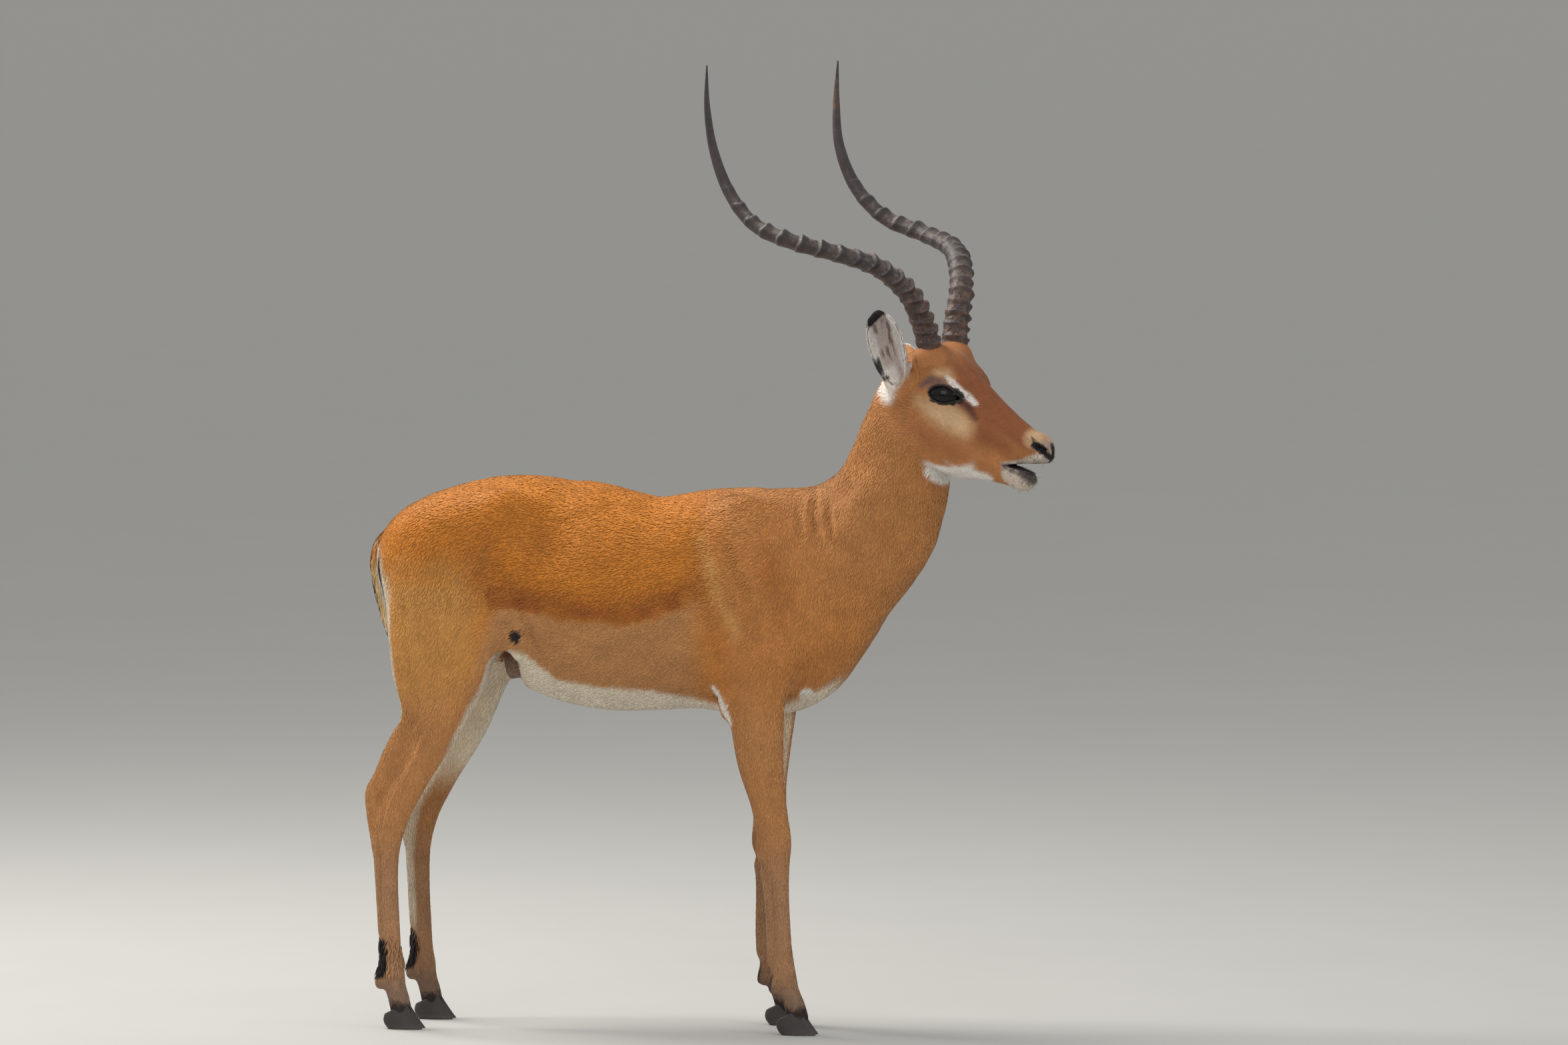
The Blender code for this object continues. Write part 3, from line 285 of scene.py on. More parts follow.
def foreleg(side, shift):
    line = [  # x, height, half depth, half width, share of the foot's shift
        (0.262, 0.600, 0.060, 0.034, 0.0), (0.2665, 0.520, 0.0445, 0.0290, 0.1),
        (0.2720, 0.455, 0.0375, 0.0255, 0.3), (0.2800, 0.395, 0.0305, 0.0215, 0.5),
        (0.2890, 0.345, 0.0275, 0.0205, 0.65), (0.2945, 0.305, 0.0270, 0.0220, 0.75),
        (0.2985, 0.270, 0.0200, 0.0175, 0.8), (0.3020, 0.220, 0.0155, 0.0145, 0.9),
        (0.3050, 0.150, 0.0160, 0.0145, 1.0), (0.3065, 0.115, 0.0185, 0.0170, 1.0),
        (0.3095, 0.092, 0.0195, 0.0180, 1.0), (0.3175, 0.068, 0.0160, 0.0165, 1.0),
        (0.3260, 0.046, 0.0165, 0.0180, 1.0), (0.3320, 0.026, 0.0165, 0.0180, 1.0),
    ]
    stations = [(placed(x + share * shift, side * (0.072 + 0.010 * (height / 0.6)), height),
                 depth, width) for x, height, depth, width, share in line]
    tendon = [(placed(x + shift * share, side * 0.075, height), 0.0065, 0.0070)
              for x, height, share in [(0.276, 0.262, 0.8), (0.2835, 0.220, 0.9),
                                       (0.2865, 0.160, 1.0), (0.288, 0.115, 1.0)]]
    return [
        tube(stations, blend=0.022),
        tube(tendon, blend=0.006),
        muscle(placed(0.226 + 0.1 * shift, side * 0.082, 0.532), (0.030, 0.0140, 0.0135),
               (0.45, 0, 1), blend=0.022),                       # point of elbow
        muscle(placed(0.262 + 0.2 * shift, side * 0.092, 0.465), (0.080, 0.026, 0.022),
               (0.1, 0, -1), blend=0.02),                       # forearm muscle
        muscle(placed(0.2735 + 0.7 * shift, side * 0.077, 0.296), (0.020, 0.010, 0.012),
               (0.1, 0, 1), blend=0.012),                       # back of the knee
        muscle(placed(0.2945 + shift, side * 0.074, 0.078), (0.016, 0.010, 0.015),
               (0.3, 0, 1), blend=0.010),                       # back of the fetlock
    ]


def hindleg(side, shift):
    line = [  # x, height, half depth, half width, y, share of the foot's shift
        (-0.232, 0.745, 0.104, 0.052, 0.058, 0.0), (-0.226, 0.690, 0.106, 0.050, 0.064, 0.0),
        (-0.228, 0.640, 0.096, 0.046, 0.070, 0.2), (-0.236, 0.590, 0.078, 0.043, 0.074, 0.5),
        (-0.243, 0.545, 0.060, 0.040, 0.077, 0.7), (-0.250, 0.495, 0.0415, 0.034, 0.080, 0.9),
        (-0.267, 0.450, 0.0320, 0.028, 0.081, 1.0), (-0.286, 0.410, 0.0260, 0.0235, 0.082, 1.0),
        (-0.3045, 0.376, 0.0250, 0.0225, 0.083, 1.0), (-0.3210, 0.345, 0.0255, 0.0220, 0.083, 1.0),
        (-0.3300, 0.312, 0.0235, 0.0205, 0.083, 1.0), (-0.3340, 0.275, 0.0205, 0.0170, 0.083, 1.0),
        (-0.3330, 0.220, 0.0185, 0.0150, 0.082, 1.0), (-0.3300, 0.160, 0.0180, 0.0148, 0.081, 1.0),
        (-0.3275, 0.115, 0.0185, 0.0160, 0.080, 1.0), (-0.3250, 0.090, 0.0200, 0.0178, 0.080, 1.0),
        (-0.3200, 0.067, 0.0170, 0.0165, 0.080, 1.0), (-0.3140, 0.046, 0.0170, 0.0180, 0.080, 1.0),
        (-0.3100, 0.026, 0.0170, 0.0180, 0.080, 1.0),
    ]
    stations = [(placed(x + share * shift, side * y, height), depth, width)
                for x, height, depth, width, y, share in line]
    tendon = [(placed(x + shift * share, side * 0.080, height), radius, radius * 0.85)
              for x, height, radius, share in [
                  (-0.282, 0.545, 0.016, 0.7), (-0.302, 0.485, 0.0110, 0.9),
                  (-0.326, 0.440, 0.0085, 1.0), (-0.345, 0.405, 0.0090, 1.0),
                  (-0.3565, 0.380, 0.0120, 1.0), (-0.3545, 0.345, 0.0125, 1.0),
                  (-0.3475, 0.290, 0.0105, 1.0)]]
    return [
        tube(stations, blend=0.026),
        tube(tendon, blend=0.008),
        muscle(placed(-0.314 + shift, side * 0.081, 0.440), (0.072, 0.026, 0.0078),
               (-0.42, 0, -0.9), blend=0.008),                  # web before the tendon
        muscle(placed(-0.3080 + shift, side * 0.1060, 0.436), (0.055, 0.0095, 0.0165),
               (-0.50, 0, -0.9), blend=0.008, cut=True),        # hollow beside the tendon
        muscle(placed(-0.3080 + shift, side * 0.0560, 0.436), (0.050, 0.0090, 0.0150),
               (-0.50, 0, -0.9), blend=0.008, cut=True),
        muscle(placed(-0.3420 + shift, side * 0.1020, 0.250), (0.075, 0.0048, 0.0070),
               (0.02, 0, -1), blend=0.006, cut=True),           # groove along the cannon
        muscle(placed(-0.182 + 0.3 * shift, side * 0.080, 0.618), (0.060, 0.034, 0.034),
               (0.35, 0, 1), blend=0.03),                       # stifle
        muscle(placed(-0.285 + 0.2 * shift, side * 0.082, 0.640), (0.120, 0.040, 0.034),
               (0.06, 0, 1), blend=0.03),                       # back of the thigh
        muscle(placed(-0.3430 + shift, side * 0.080, 0.078), (0.016, 0.010, 0.015),
               (0.3, 0, 1), blend=0.010),                       # back of the fetlock
    ]


def tail():
    line = [(-0.325, 0.780, 0.022), (-0.3520, 0.772, 0.0180), (-0.3655, 0.745, 0.0120),
            (-0.3625, 0.710, 0.0105), (-0.3535, 0.675, 0.0115), (-0.3420, 0.640, 0.0125),
            (-0.3340, 0.608, 0.0065)]
    return [tube([(placed(x, 0, z), r * 0.9, r * 1.25) for x, z, r in line], blend=0.008)]


def groin():
    return [muscle(placed(-0.1465, -0.050, 0.566), (0.052, 0.0215, 0.085),
                   (0.12, 0, 1), blend=0.012, cut=True),
            muscle(placed(-0.1385, -0.006, 0.588), (0.032, 0.0160, 0.0160),
                   (0.1, 0, 1), blend=0.006)]


# from masses to a surface
mesher = {
    "trunkCell": 0.0068,
    "headCell": 0.0026,
    "acrossCell": 0.0037,
    "tailCell": 0.0036,
    "footCell": 0.0042,
    "farValue": 0.25,
    "filledValue": 0.0004,
    "smoothing": 9,
}


def ellipseDistance(parts, radii):
    near = sum((part / radius) ** 2 for part, radius in zip(parts, radii))
    slope = sum((part / (radius * radius)) ** 2 for part, radius in zip(parts, radii))
    length = np.sqrt(near) + 1e-6
    return length * (length - 1) / (np.sqrt(slope) + 1e-6)


def segmentDistance(x, y, z, first, last, side, egg):
    along = last[:3] - first[:3]
    length = np.linalg.norm(along)
    along = along / length
    flat = unit(side - along * side.dot(along))
    rise = np.cross(along, flat)
    dx, dy, dz = x - first[0], y - first[1], z - first[2]
    run = dx * along[0] + dy * along[1] + dz * along[2]
    share = np.clip(run / length, 0, 1)
    depth = first[3] + (last[3] - first[3]) * share
    width = first[4] + (last[4] - first[4]) * share
    across = dx * flat[0] + dy * flat[1] + dz * flat[2]
    upward = dx * rise[0] + dy * rise[1] + dz * rise[2]
    if egg:
        width = width * (1 - egg * np.clip(upward / depth, -1, 1))
    return ellipseDistance((across, upward, run - share * length),
                           (width, depth, np.minimum(depth, width)))


def window(axes, low, high):
    return tuple(slice(max(0, int(np.searchsorted(axis, a)) - 1),
                       min(len(axis), int(np.searchsorted(axis, b)) + 1))
                 for axis, a, b in zip(axes, low, high))


def openAxes(axes, part):
    x, y, z = (axis[span] for axis, span in zip(axes, part))
    return x[:, None, None], y[None, :, None], z[None, None, :]


def tubeField(axes, mass):
    rows = mass["rows"]
    reach = rows[:, 3:].max(axis=1) * (1 + abs(mass["egg"])) + mass["blend"] + 0.012
    whole = window(axes, rows[:, :3].min(0) - reach.max(), rows[:, :3].max(0) + reach.max())
    value = np.full([span.stop - span.start for span in whole], mesher["farValue"])
    for first, last, near, far in zip(rows, rows[1:], reach, reach[1:]):
        margin = max(near, far)
        piece = window(axes, np.minimum(first[:3], last[:3]) - margin,
                       np.maximum(first[:3], last[:3]) + margin)
        inner = tuple(slice(span.start - base.start, span.stop - base.start)
                      for span, base in zip(piece, whole))
        distance = segmentDistance(*openAxes(axes, piece), first, last, mass["side"], mass["egg"])
        np.minimum(value[inner], distance, out=value[inner])
    return whole, value


def muscleField(axes, mass):
    reach = max(mass["radii"]) + mass["blend"] + 0.012
    part = window(axes, mass["centre"] - reach, mass["centre"] + reach)
    away = [c - centre for c, centre in zip(openAxes(axes, part), mass["centre"])]
    parts = [away[0] * axis[0] + away[1] * axis[1] + away[2] * axis[2] for axis in mass["frame"]]
    return part, ellipseDistance(parts, mass["radii"])


def bodyField(axes, masses):
    total = np.full([len(axis) for axis in axes], mesher["farValue"])
    for mass in masses:
        part, value = (tubeField if mass["kind"] == "tube" else muscleField)(axes, mass)
        here = total[part]
        if mass["cut"]:
            mix = np.maximum(mass["blend"] - np.abs(here + value), 0) / mass["blend"]
            here[...] = np.maximum(here, -value) + mix * mix * mass["blend"] / 4
        else:
            mix = np.maximum(mass["blend"] - np.abs(here - value), 0) / mass["blend"]
            here[...] = np.minimum(here, value) - mix * mix * mass["blend"] / 4
    return total


def joined(value):               # fills grid squares where flesh meets only at a corner
    faces = [((0, 0, 0), (1, 1, 0), (1, 0, 0), (0, 1, 0)),
             ((0, 0, 0), (1, 0, 1), (1, 0, 0), (0, 0, 1)),
             ((0, 0, 0), (0, 1, 1), (0, 1, 0), (0, 0, 1))]
    size = [count - 1 for count in value.shape]

    def at(corner):
        return value[tuple(slice(offset, offset + count) for offset, count in zip(corner, size))]
    for attempt in range(4):
        changed = 0
        for a, b, c, d in faces:
            for one, two, openOne, openTwo in ((a, b, c, d), (c, d, a, b)):
                found = (at(one) < 0) & (at(two) < 0) & (at(openOne) >= 0) & (at(openTwo) >= 0)
                for corner in (openOne, openTwo):
                    at(corner)[found] = -mesher["filledValue"]
                changed += int(found.sum())
        if not changed:
            break
    return value


def surfaceOf(axes, value):      # one vertex in each cell that the surface crosses
    inside = value < 0
    shape = np.array(value.shape) - 1
    corners = sum(inside[a:a + shape[0], b:b + shape[1], c:c + shape[2]].astype(np.int8)
                  for a in (0, 1) for b in (0, 1) for c in (0, 1))
    cells = np.argwhere((corners > 0) & (corners < 8))
    number = np.full(shape, -1)
    number[tuple(cells.T)] = np.arange(len(cells))
    total, count = np.zeros((len(cells), 3)), np.zeros(len(cells))
    faces = []
    for direction in range(3):
        step = np.eye(3, dtype=int)[direction]
        others = [axis for axis in range(3) if axis != direction]
        for a in (0, 1):
            for b in (0, 1):
                start = cells.copy()
                start[:, others[0]] += a
                start[:, others[1]] += b
                low, high = value[tuple(start.T)], value[tuple((start + step).T)]
                crossed = (low < 0) != (high < 0)
                share = np.where(crossed, low / np.where(crossed, low - high, 1), 0)
                ends = [np.stack([axes[i][p[:, i]] for i in range(3)], axis=1)
                        for p in (start, start + step)]
                crossing = ends[0] + (ends[1] - ends[0]) * share[:, None]
                total += np.where(crossed[:, None], crossing, 0)
                count += crossed
        first = np.moveaxis(inside, direction, 0)
        edges = np.argwhere(first[:-1] != first[1:])
        edge = np.empty_like(edges)
        edge[:, [direction, *others]] = edges
        ring = []
        for a, b in ((-1, -1), (0, -1), (0, 0), (-1, 0)):
            cell = edge.copy()
            cell[:, (direction + 1) % 3] += a
            cell[:, (direction + 2) % 3] += b
            ring.append(number[tuple(cell.T)])
        quad = np.stack(ring, axis=1)
        outward = inside[tuple(edge.T)]
        quad[~outward] = quad[~outward][:, ::-1]
        faces.append(quad)
    return total / count[:, None], np.vstack(faces)


def gradedAxis(low, high, coarse, fineSpans):
    lines = [low]
    while lines[-1] < high:
        cell = min([coarse] + [fine for a, b, fine in fineSpans if a <= lines[-1] <= b])
        lines.append(lines[-1] + cell)
    return np.array(lines)


def normalsOf(points, quads):
    across = np.cross(points[quads[:, 2]] - points[quads[:, 0]],
                      points[quads[:, 3]] - points[quads[:, 1]])
    total = np.stack([np.bincount(quads.ravel(), np.repeat(across[:, i], 4), len(points))
                      for i in range(3)], axis=1)
    return total / (np.linalg.norm(total, axis=1, keepdims=True) + 1e-12)


def relaxed(points, quads, rounds):
    a = quads.ravel()
    b = np.roll(quads, -1, axis=1).ravel()
    ends, starts = np.concatenate([a, b]), np.concatenate([b, a])
    count = np.bincount(ends, minlength=len(points))[:, None]
    for number in range(rounds * 2):
        middle = np.stack([np.bincount(ends, points[starts, i], len(points))
                           for i in range(3)], axis=1) / count
        points = points + (middle - points) * (0.5 if number % 2 == 0 else -0.52)
    return points


def ringFaces(rings, around):    # quads between closed rings; the first corner sets the diagonal
    first = (np.arange(rings - 1) * around)[:, None] + np.arange(around)
    second = (np.arange(rings - 1) * around)[:, None] + (np.arange(around) + 1) % around
    return np.stack([first, first + around, second + around, second], axis=2).reshape(-1, 4)


def largestPiece(points, quads):   # leaves out any loose crumb
    label = np.arange(len(points))
    for attempt in range(400):
        low = label[quads].min(axis=1)
        fresh = label.copy()
        np.minimum.at(fresh, quads.ravel(), np.repeat(low, 4))
        fresh = fresh[fresh]
        if np.array_equal(fresh, label):
            break
        label = fresh
    kept = label == np.bincount(label).argmax()
    number = np.cumsum(kept) - 1
    return points[kept], number[quads[kept[quads].all(axis=1)]]


print("shaping the flesh")
place = stance["place"]
headMiddle = place + stance["headAt"]
masses = (trunk() + neck() + foreleg(right, 0.0) + foreleg(left, stance["leftForeShift"])
          + hindleg(right, 0.0) + hindleg(left, stance["leftHindShift"]) + head()
          + ear(right) + ear(left) + tail() + groin())
axes = [
    gradedAxis(place[0] - 0.42, place[0] + 0.80, mesher["trunkCell"],
               [(headMiddle[0] - 0.13, headMiddle[0] + 0.28, mesher["headCell"]),
                (place[0] - 0.385, place[0] - 0.30, mesher["tailCell"])]),
    gradedAxis(place[1] - 0.24, place[1] + 0.22, mesher["acrossCell"], []),
    gradedAxis(0.0, 1.20, mesher["trunkCell"],
               [(headMiddle[2] - 0.145, headMiddle[2] + 0.2, mesher["headCell"]),
                (0.0, 0.13, mesher["footCell"])]),
]
surface, quads = surfaceOf(axes, joined(bodyField(axes, masses)))
surface, quads = largestPiece(surface, quads)
surface = relaxed(surface, quads, mesher["smoothing"])
print("skin of", len(quads) * 2, "triangles")


# colours of the coat
palette = {                       # linear colours
    "saddle": (0.560, 0.192, 0.020),
    # the saddle's darker lower edge, also used as painted shade in the hollows
    "saddleEdgeAndShade": (0.330, 0.098, 0.018),
    # painted highlight
    "paintedHighlight": (0.720, 0.420, 0.150),
    "shoulder": (0.520, 0.210, 0.056),
    "neck": (0.480, 0.205, 0.064),
    "flank": (0.500, 0.238, 0.088),
    "belly": (0.780, 0.680, 0.540),
    "thigh": (0.600, 0.280, 0.074),
    "leg": (0.500, 0.225, 0.078),
    "shank": (0.430, 0.225, 0.110),
    "pastern": (0.230, 0.150, 0.105),
    "cream": (0.740, 0.620, 0.460),
    "tailSide": (0.660, 0.440, 0.200),
    "lipGrey": (0.430, 0.350, 0.280),
    "face": (0.310, 0.104, 0.040),
    "cheek": (0.480, 0.200, 0.070),
    "white": (0.850, 0.810, 0.750),
    "underEye": (0.700, 0.470, 0.265),
    "lid": (0.170, 0.110, 0.105),
    # dark lines (tear line, streaks in the ear), also used as painted shade in folds
    "tear": (0.105, 0.040, 0.032),
    "muzzle": (0.640, 0.545, 0.450),
    "black": (0.014, 0.011, 0.011),
    "earSkin": (0.380, 0.280, 0.250),
    "mouth": (0.030, 0.018, 0.024),
    "scrotum": (0.150, 0.070, 0.040),
}
noiseTable = chance.random((32, 32, 32))


def noise(points, size):          # soft random value from 0 to 1
    spot = points / size
    cell = np.floor(spot).astype(int)
    part = spot - cell
    part = part * part * (3 - 2 * part)
    total = 0
    for a in (0, 1):
        for b in (0, 1):
            for c in (0, 1):
                weight = (np.abs(1 - a - part[:, 0]) * np.abs(1 - b - part[:, 1])
                          * np.abs(1 - c - part[:, 2]))
                total = total + weight * noiseTable[(cell[:, 0] + a) % 32, (cell[:, 1] + b) % 32,
                                                    (cell[:, 2] + c) % 32]
    return total


def pathDistance(across, up, path):   # distance to a drawn line and how far along it
    gap, along = np.full(len(across), 9.0), np.zeros(len(across))
    for number, (first, last) in enumerate(zip(path, path[1:])):
        dx, dz = last[0] - first[0], last[1] - first[1]
        t = np.clip(((across - first[0]) * dx + (up - first[1]) * dz) / (dx * dx + dz * dz), 0, 1)
        distance = np.hypot(across - first[0] - dx * t, up - first[1] - dz * t)
        nearer = distance < gap
        gap[nearer], along[nearer] = distance[nearer], (number + t[nearer])
    return gap, along


def stroke(across, up, path, soft):   # 1 inside a drawn stroke of changing width, 0 outside
    gap, along = pathDistance(across, up, path)
    width = np.interp(along, np.arange(len(path)), [row[2] for row in path])
    return smooth(gap - width, soft, -soft)


def earPlaces(points, side):      # share of the length, rearward and outward of the ear's middle
    e = earFrame(side)
    away = points - e["start"]
    share = away @ e["axis"] / np.linalg.norm(e["end"] - e["start"])
    rear = e["breadth"] * (-1 if e["breadth"] @ headForward > 0 else 1)
    inside = np.clip(share, 0, 1)
    outward = away @ e["out"] + e["bow"] * 4 * inside * (1 - inside)
    return share, away @ rear, outward


def earShare(points, side):       # how much a point belongs to that ear
    share, rearward, outward = earPlaces(points, side)
    beside = np.hypot(rearward, outward)
    reach = np.interp(share, [0.10, 0.20, 0.36, 0.60], [0.021, 0.025, 0.031, 0.036])
    return smooth(share, 0.10, 0.26) * smooth(beside - reach, 0.004, 0) * (share < 1.2)


def headShare(points):
    away = points - place - np.array([0.500, -0.028, 0.962])
    return smooth(away @ unit([0.775, 0, 0.632]), -0.022, 0.016)


def neckShare(points):
    away = points - place - np.array([0.375, 0, 0.765])
    return smooth(away @ unit([0.74, 0, 0.67]), -0.07, 0.07)


headStrokes = [  # colour, path forward and up with half widths, softness, distance from the middle,
    # wander of the edge, strength
    ("face", [(0.150, -0.040, 0.016), (0.188, -0.062, 0.010)], 0.012, 0.0, 0.0, 0.8),
    ("face", [(0.030, -0.030, 0.010), (0.075, -0.055, 0.014), (0.12, -0.068, 0.008)],
     0.016, 0.0, 0.0, 0.55),
    ("underEye", [(0.050, 0.012, 0.007), (0.072, -0.001, 0.015), (0.099, -0.014, 0.021),
                  (0.122, -0.032, 0.012)], 0.016, 0.03, 0.006, 1.0),
    ("tear", [(0.114, 0.014, 0.0045), (0.128, -0.001, 0.0060), (0.139, -0.018, 0.0030)],
     0.006, 0.018, 0.0, 0.9),
    ("underEye", [(0.082, 0.0560, 0.0060), (0.094, 0.0540, 0.0070), (0.104, 0.0450, 0.0040)],
     0.007, 0.02, 0.0, 0.8),
    ("lid", [(0.054, 0.037, 0.0050), (0.070, 0.045, 0.0075), (0.090, 0.0405, 0.0060),
             (0.106, 0.031, 0.0030)], 0.006, 0.03, 0.0, 0.85),
]


class Coat:                      # points of the coat, with their places, facing and colours
    def __init__(self, points, normals):
        self.points, self.normals = points, normals
        self.x, self.y, self.z = (points - place).T
        self.hx, self.hy, self.hz = headPlaces(points).T
        self.outward, self.headOutward = np.abs(self.y), np.abs(self.hy)
        self.back, self.down = -normals[:, 0], -normals[:, 2]
        self.inward = -normals[:, 1] * np.where(self.y < 0, -1.0, 1.0)
        self.ragged, self.broad = noise(points, 0.006) - 0.5, noise(points, 0.022) - 0.5
        self.speck = noise(points, 0.0016)
        self.neckPart, self.headPart = neckShare(points), headShare(points)
        self.hind = self.x < -0.09
        self.colour = np.tile(np.array(palette["saddle"]), (len(points), 1))

    def lay(self, name, amount):
        layOver(self.colour, palette[name], amount)

    def gap(self, centre, radii):          # 1 on an ellipsoid round the centre
        return np.sqrt((((self.points - place - centre) / radii) ** 2).sum(axis=1))


def bodyColours(c):
    x, z, broad = c.x, c.z, c.broad
    c.lay("shoulder", smooth(x, 0.14, 0.25))
    c.lay("neck", c.neckPart)
    c.lay("thigh", smooth(-x, 0.13, 0.21) * smooth(z + broad * 0.03, 0.80, 0.69))
    saddleLine = np.interp(x, [-0.30, -0.227, -0.144, -0.091, -0.038, 0.041, 0.103, 0.186],
                           [0.73, 0.707, 0.683, 0.679, 0.663, 0.654, 0.663, 0.700])
    # a darker band along the saddle's lower edge, partly the coat's own tone and partly painted shade; the
    # soft spots before the hip and on the flank, and the stroke behind the shoulder, are painted shade
    edge = bell(z - saddleLine + broad * 0.02, 0.018, 0.024) * (x > -0.16) * smooth(x, 0.22, 0.15)
    edge = np.maximum(edge * 0.95, 0.50 * bell(x, -0.170, 0.028) * bell(z, 0.745, 0.055))
    edge = np.maximum(edge, 0.45 * bell(x, -0.072, 0.022) * bell(z, 0.780, 0.026))
    shoulderShade = stroke(x, z, [(0.290, 0.775, 0.010), (0.305, 0.725, 0.018), (0.316, 0.690, 0.012)],
                           0.022) * (x > 0.24)
    c.lay("saddleEdgeAndShade", np.maximum(edge, 0.45 * shoulderShade) * (0.85 + broad))
    # painted highlight: a light streak down the shoulder
    streak = stroke(x, z, [(0.185, 0.790, 0.005), (0.212, 0.715, 0.010), (0.243, 0.640, 0.006)], 0.014)
    c.lay("paintedHighlight", streak * (0.40 + broad * 0.6))
    flank = smooth(z - saddleLine + broad * 0.016 + c.ragged * 0.008, 0.008, -0.008) * (z > 0.47)
    c.lay("flank", flank * smooth(x + (0.68 - z) * 0.35, -0.165, -0.135) * smooth(x, 0.215, 0.150))
    bellyLine = np.interp(x, [-0.19, -0.15, -0.125, -0.103, -0.054, 0.021, 0.103, 0.165, 0.218, 0.30, 0.36],
                          [0.540, 0.590, 0.612, 0.606, 0.565, 0.553, 0.549, 0.536, 0.520, 0.520, 0.545])
    c.belly = smooth(z - bellyLine + c.ragged * 0.006, 0.006, -0.006) * (z > 0.485)
    c.belly = c.belly * smooth(x, -0.20, -0.15) * (1 - smooth(c.outward, 0.04, 0.07)
                                                   * smooth(x, 0.19, 0.215))
    c.lay("belly", c.belly)


def legColours(c):
    x, z, hind, back, inward = c.x, c.z, c.hind, c.back, c.inward
    c.lay("leg", smooth(z, 0.60, 0.47) * smooth(np.abs(x - 0.04), 0.17, 0.20) * (1 - c.belly))
    c.lay("shank", smooth(z, 0.36, 0.22))
    c.lay("cream", smooth(inward - back * 0.45, 0.05, 0.42) * hind * between(z, 0.36, 0.44, 0.63, 0.66))
    c.lay("cream", smooth(inward, 0.25, 0.65) * ~hind * between(z, 0.30, 0.38, 0.50, 0.53) * 0.75)
    c.lay("cream", smooth(inward * 0.6 + back * 0.8, 0.55, 0.85) * hind
          * between(z, 0.13, 0.18, 0.40, 0.50) * 0.8)
    c.lay("cream", smooth(back, 0.70, 0.92) * hind * between(z, 0.46, 0.52, 0.72, 0.78)
          * smooth(-x, 0.24, 0.27))
    c.lay("white", smooth(back, 0.35, 0.6) * smooth(-x, 0.27, 0.30) * between(z, 0.56, 0.62, 0.765, 0.785)
          * smooth(c.outward, 0.048, 0.040))
    c.lay("black", smooth(back, 0.1, 0.4) * smooth(-x, 0.26, 0.29) * between(z, 0.60, 0.64, 0.745, 0.765)
          * bell(c.outward + c.ragged * 0.004, 0.052, 0.0065) * 1.6)
    c.lay("pastern", smooth(z + c.ragged * 0.03, 0.105, 0.055) * 0.85)
    c.lay("black", smooth(z + c.ragged * 0.01, 0.050, 0.040) * 0.92)
    for side, shift in ((right, 0.0), (left, stance["leftHindShift"])):      # tufts over the fetlocks
        gap = c.gap((-0.3440 + shift, side * 0.083, 0.116), (0.0185, 0.0300, 0.034))
        c.lay("black", smooth(gap + c.ragged * 0.3, 1.08, 0.88))
    c.lay("black", smooth(back, 0.5, 0.8) * (x > 0.15) * between(z, 0.045, 0.06, 0.090, 0.110) * 0.85)
    c.lay("cream", smooth(back, 0.72, 0.93) * ~hind * between(z, 0.12, 0.15, 0.27, 0.30)
          * smooth(inward, 0.3, 0.0) * 0.55)
    # painted shade: the inner sides of the lower legs are darkened
    c.colour *= (1 - 0.24 * smooth(inward, -0.1, 0.5) * smooth(z, 0.42, 0.34))[:, None]
    c.lay("belly", smooth(-back - np.abs(inward) * 0.2, 0.50, 0.80) * hind
          * between(z, 0.43, 0.48, 0.635, 0.655) * smooth(-x, 0.11, 0.13) * 0.9)


def underColours(c):
    x, z, beside = c.x, c.z, c.outward > 0.03
    c.sac = c.gap((-0.1385, -0.006, 0.584), (0.0200, 0.0190, 0.0330))
    c.lay("scrotum", smooth(c.sac, 1.15, 0.95) * (1 - 0.35 * c.speck))
    # painted shade: a black spot in the hollow of the flank fold
    spot = np.hypot((x + 0.1155) / 0.0105, (z - 0.634) / 0.0125)
    c.lay("black", smooth(spot + c.ragged * 0.5, 1.05, 0.65) * (c.outward > 0.05))
    oval = np.hypot((x - 0.344) / 0.0135, (z - 0.5445) / 0.0120)
    c.lay("white", smooth(oval, 1.1, 0.75) * beside * (1 - c.headPart))
    elbow = stroke(x, z, [(0.200, 0.556, 0.004), (0.216, 0.530, 0.006), (0.226, 0.502, 0.004)], 0.003)
    c.lay("white", elbow * beside * smooth(c.back, -0.6, -0.2))
    c.lay("belly", smooth(c.outward, 0.050, 0.030) * smooth(c.down, 0.15, 0.5)
          * between(x, 0.19, 0.22, 0.375, 0.41) * smooth(z, 0.60, 0.56))


def tailColours(c):              # dark along the outside, pale at its sides
    x, z, outward = c.x, c.z, c.outward
    tailPart = smooth(-x, 0.343, 0.350) * smooth(outward, 0.026, 0.020)
    tailPart = tailPart * between(z, 0.57, 0.60, 0.775, 0.79)
    c.lay("white", tailPart)
    c.lay("tailSide", tailPart * smooth(c.back, -0.75, -0.25) * smooth(z, 0.60, 0.64))
    under = smooth(outward, 0.050, 0.035) * c.hind * between(x, -0.37, -0.33, -0.19, -0.15)
    c.lay("belly", under * between(z, 0.50, 0.53, 0.66, 0.70) * smooth(tailPart, 0.6, 0.2)
          * smooth(c.sac, 0.9, 1.1))
    c.lay("black", tailPart * smooth(outward + c.ragged * 0.005, 0.0105, 0.0062)
          * smooth(c.back, -0.15, 0.25))
    c.lay("saddle", smooth(z, 0.735, 0.765) * tailPart * 0.8)


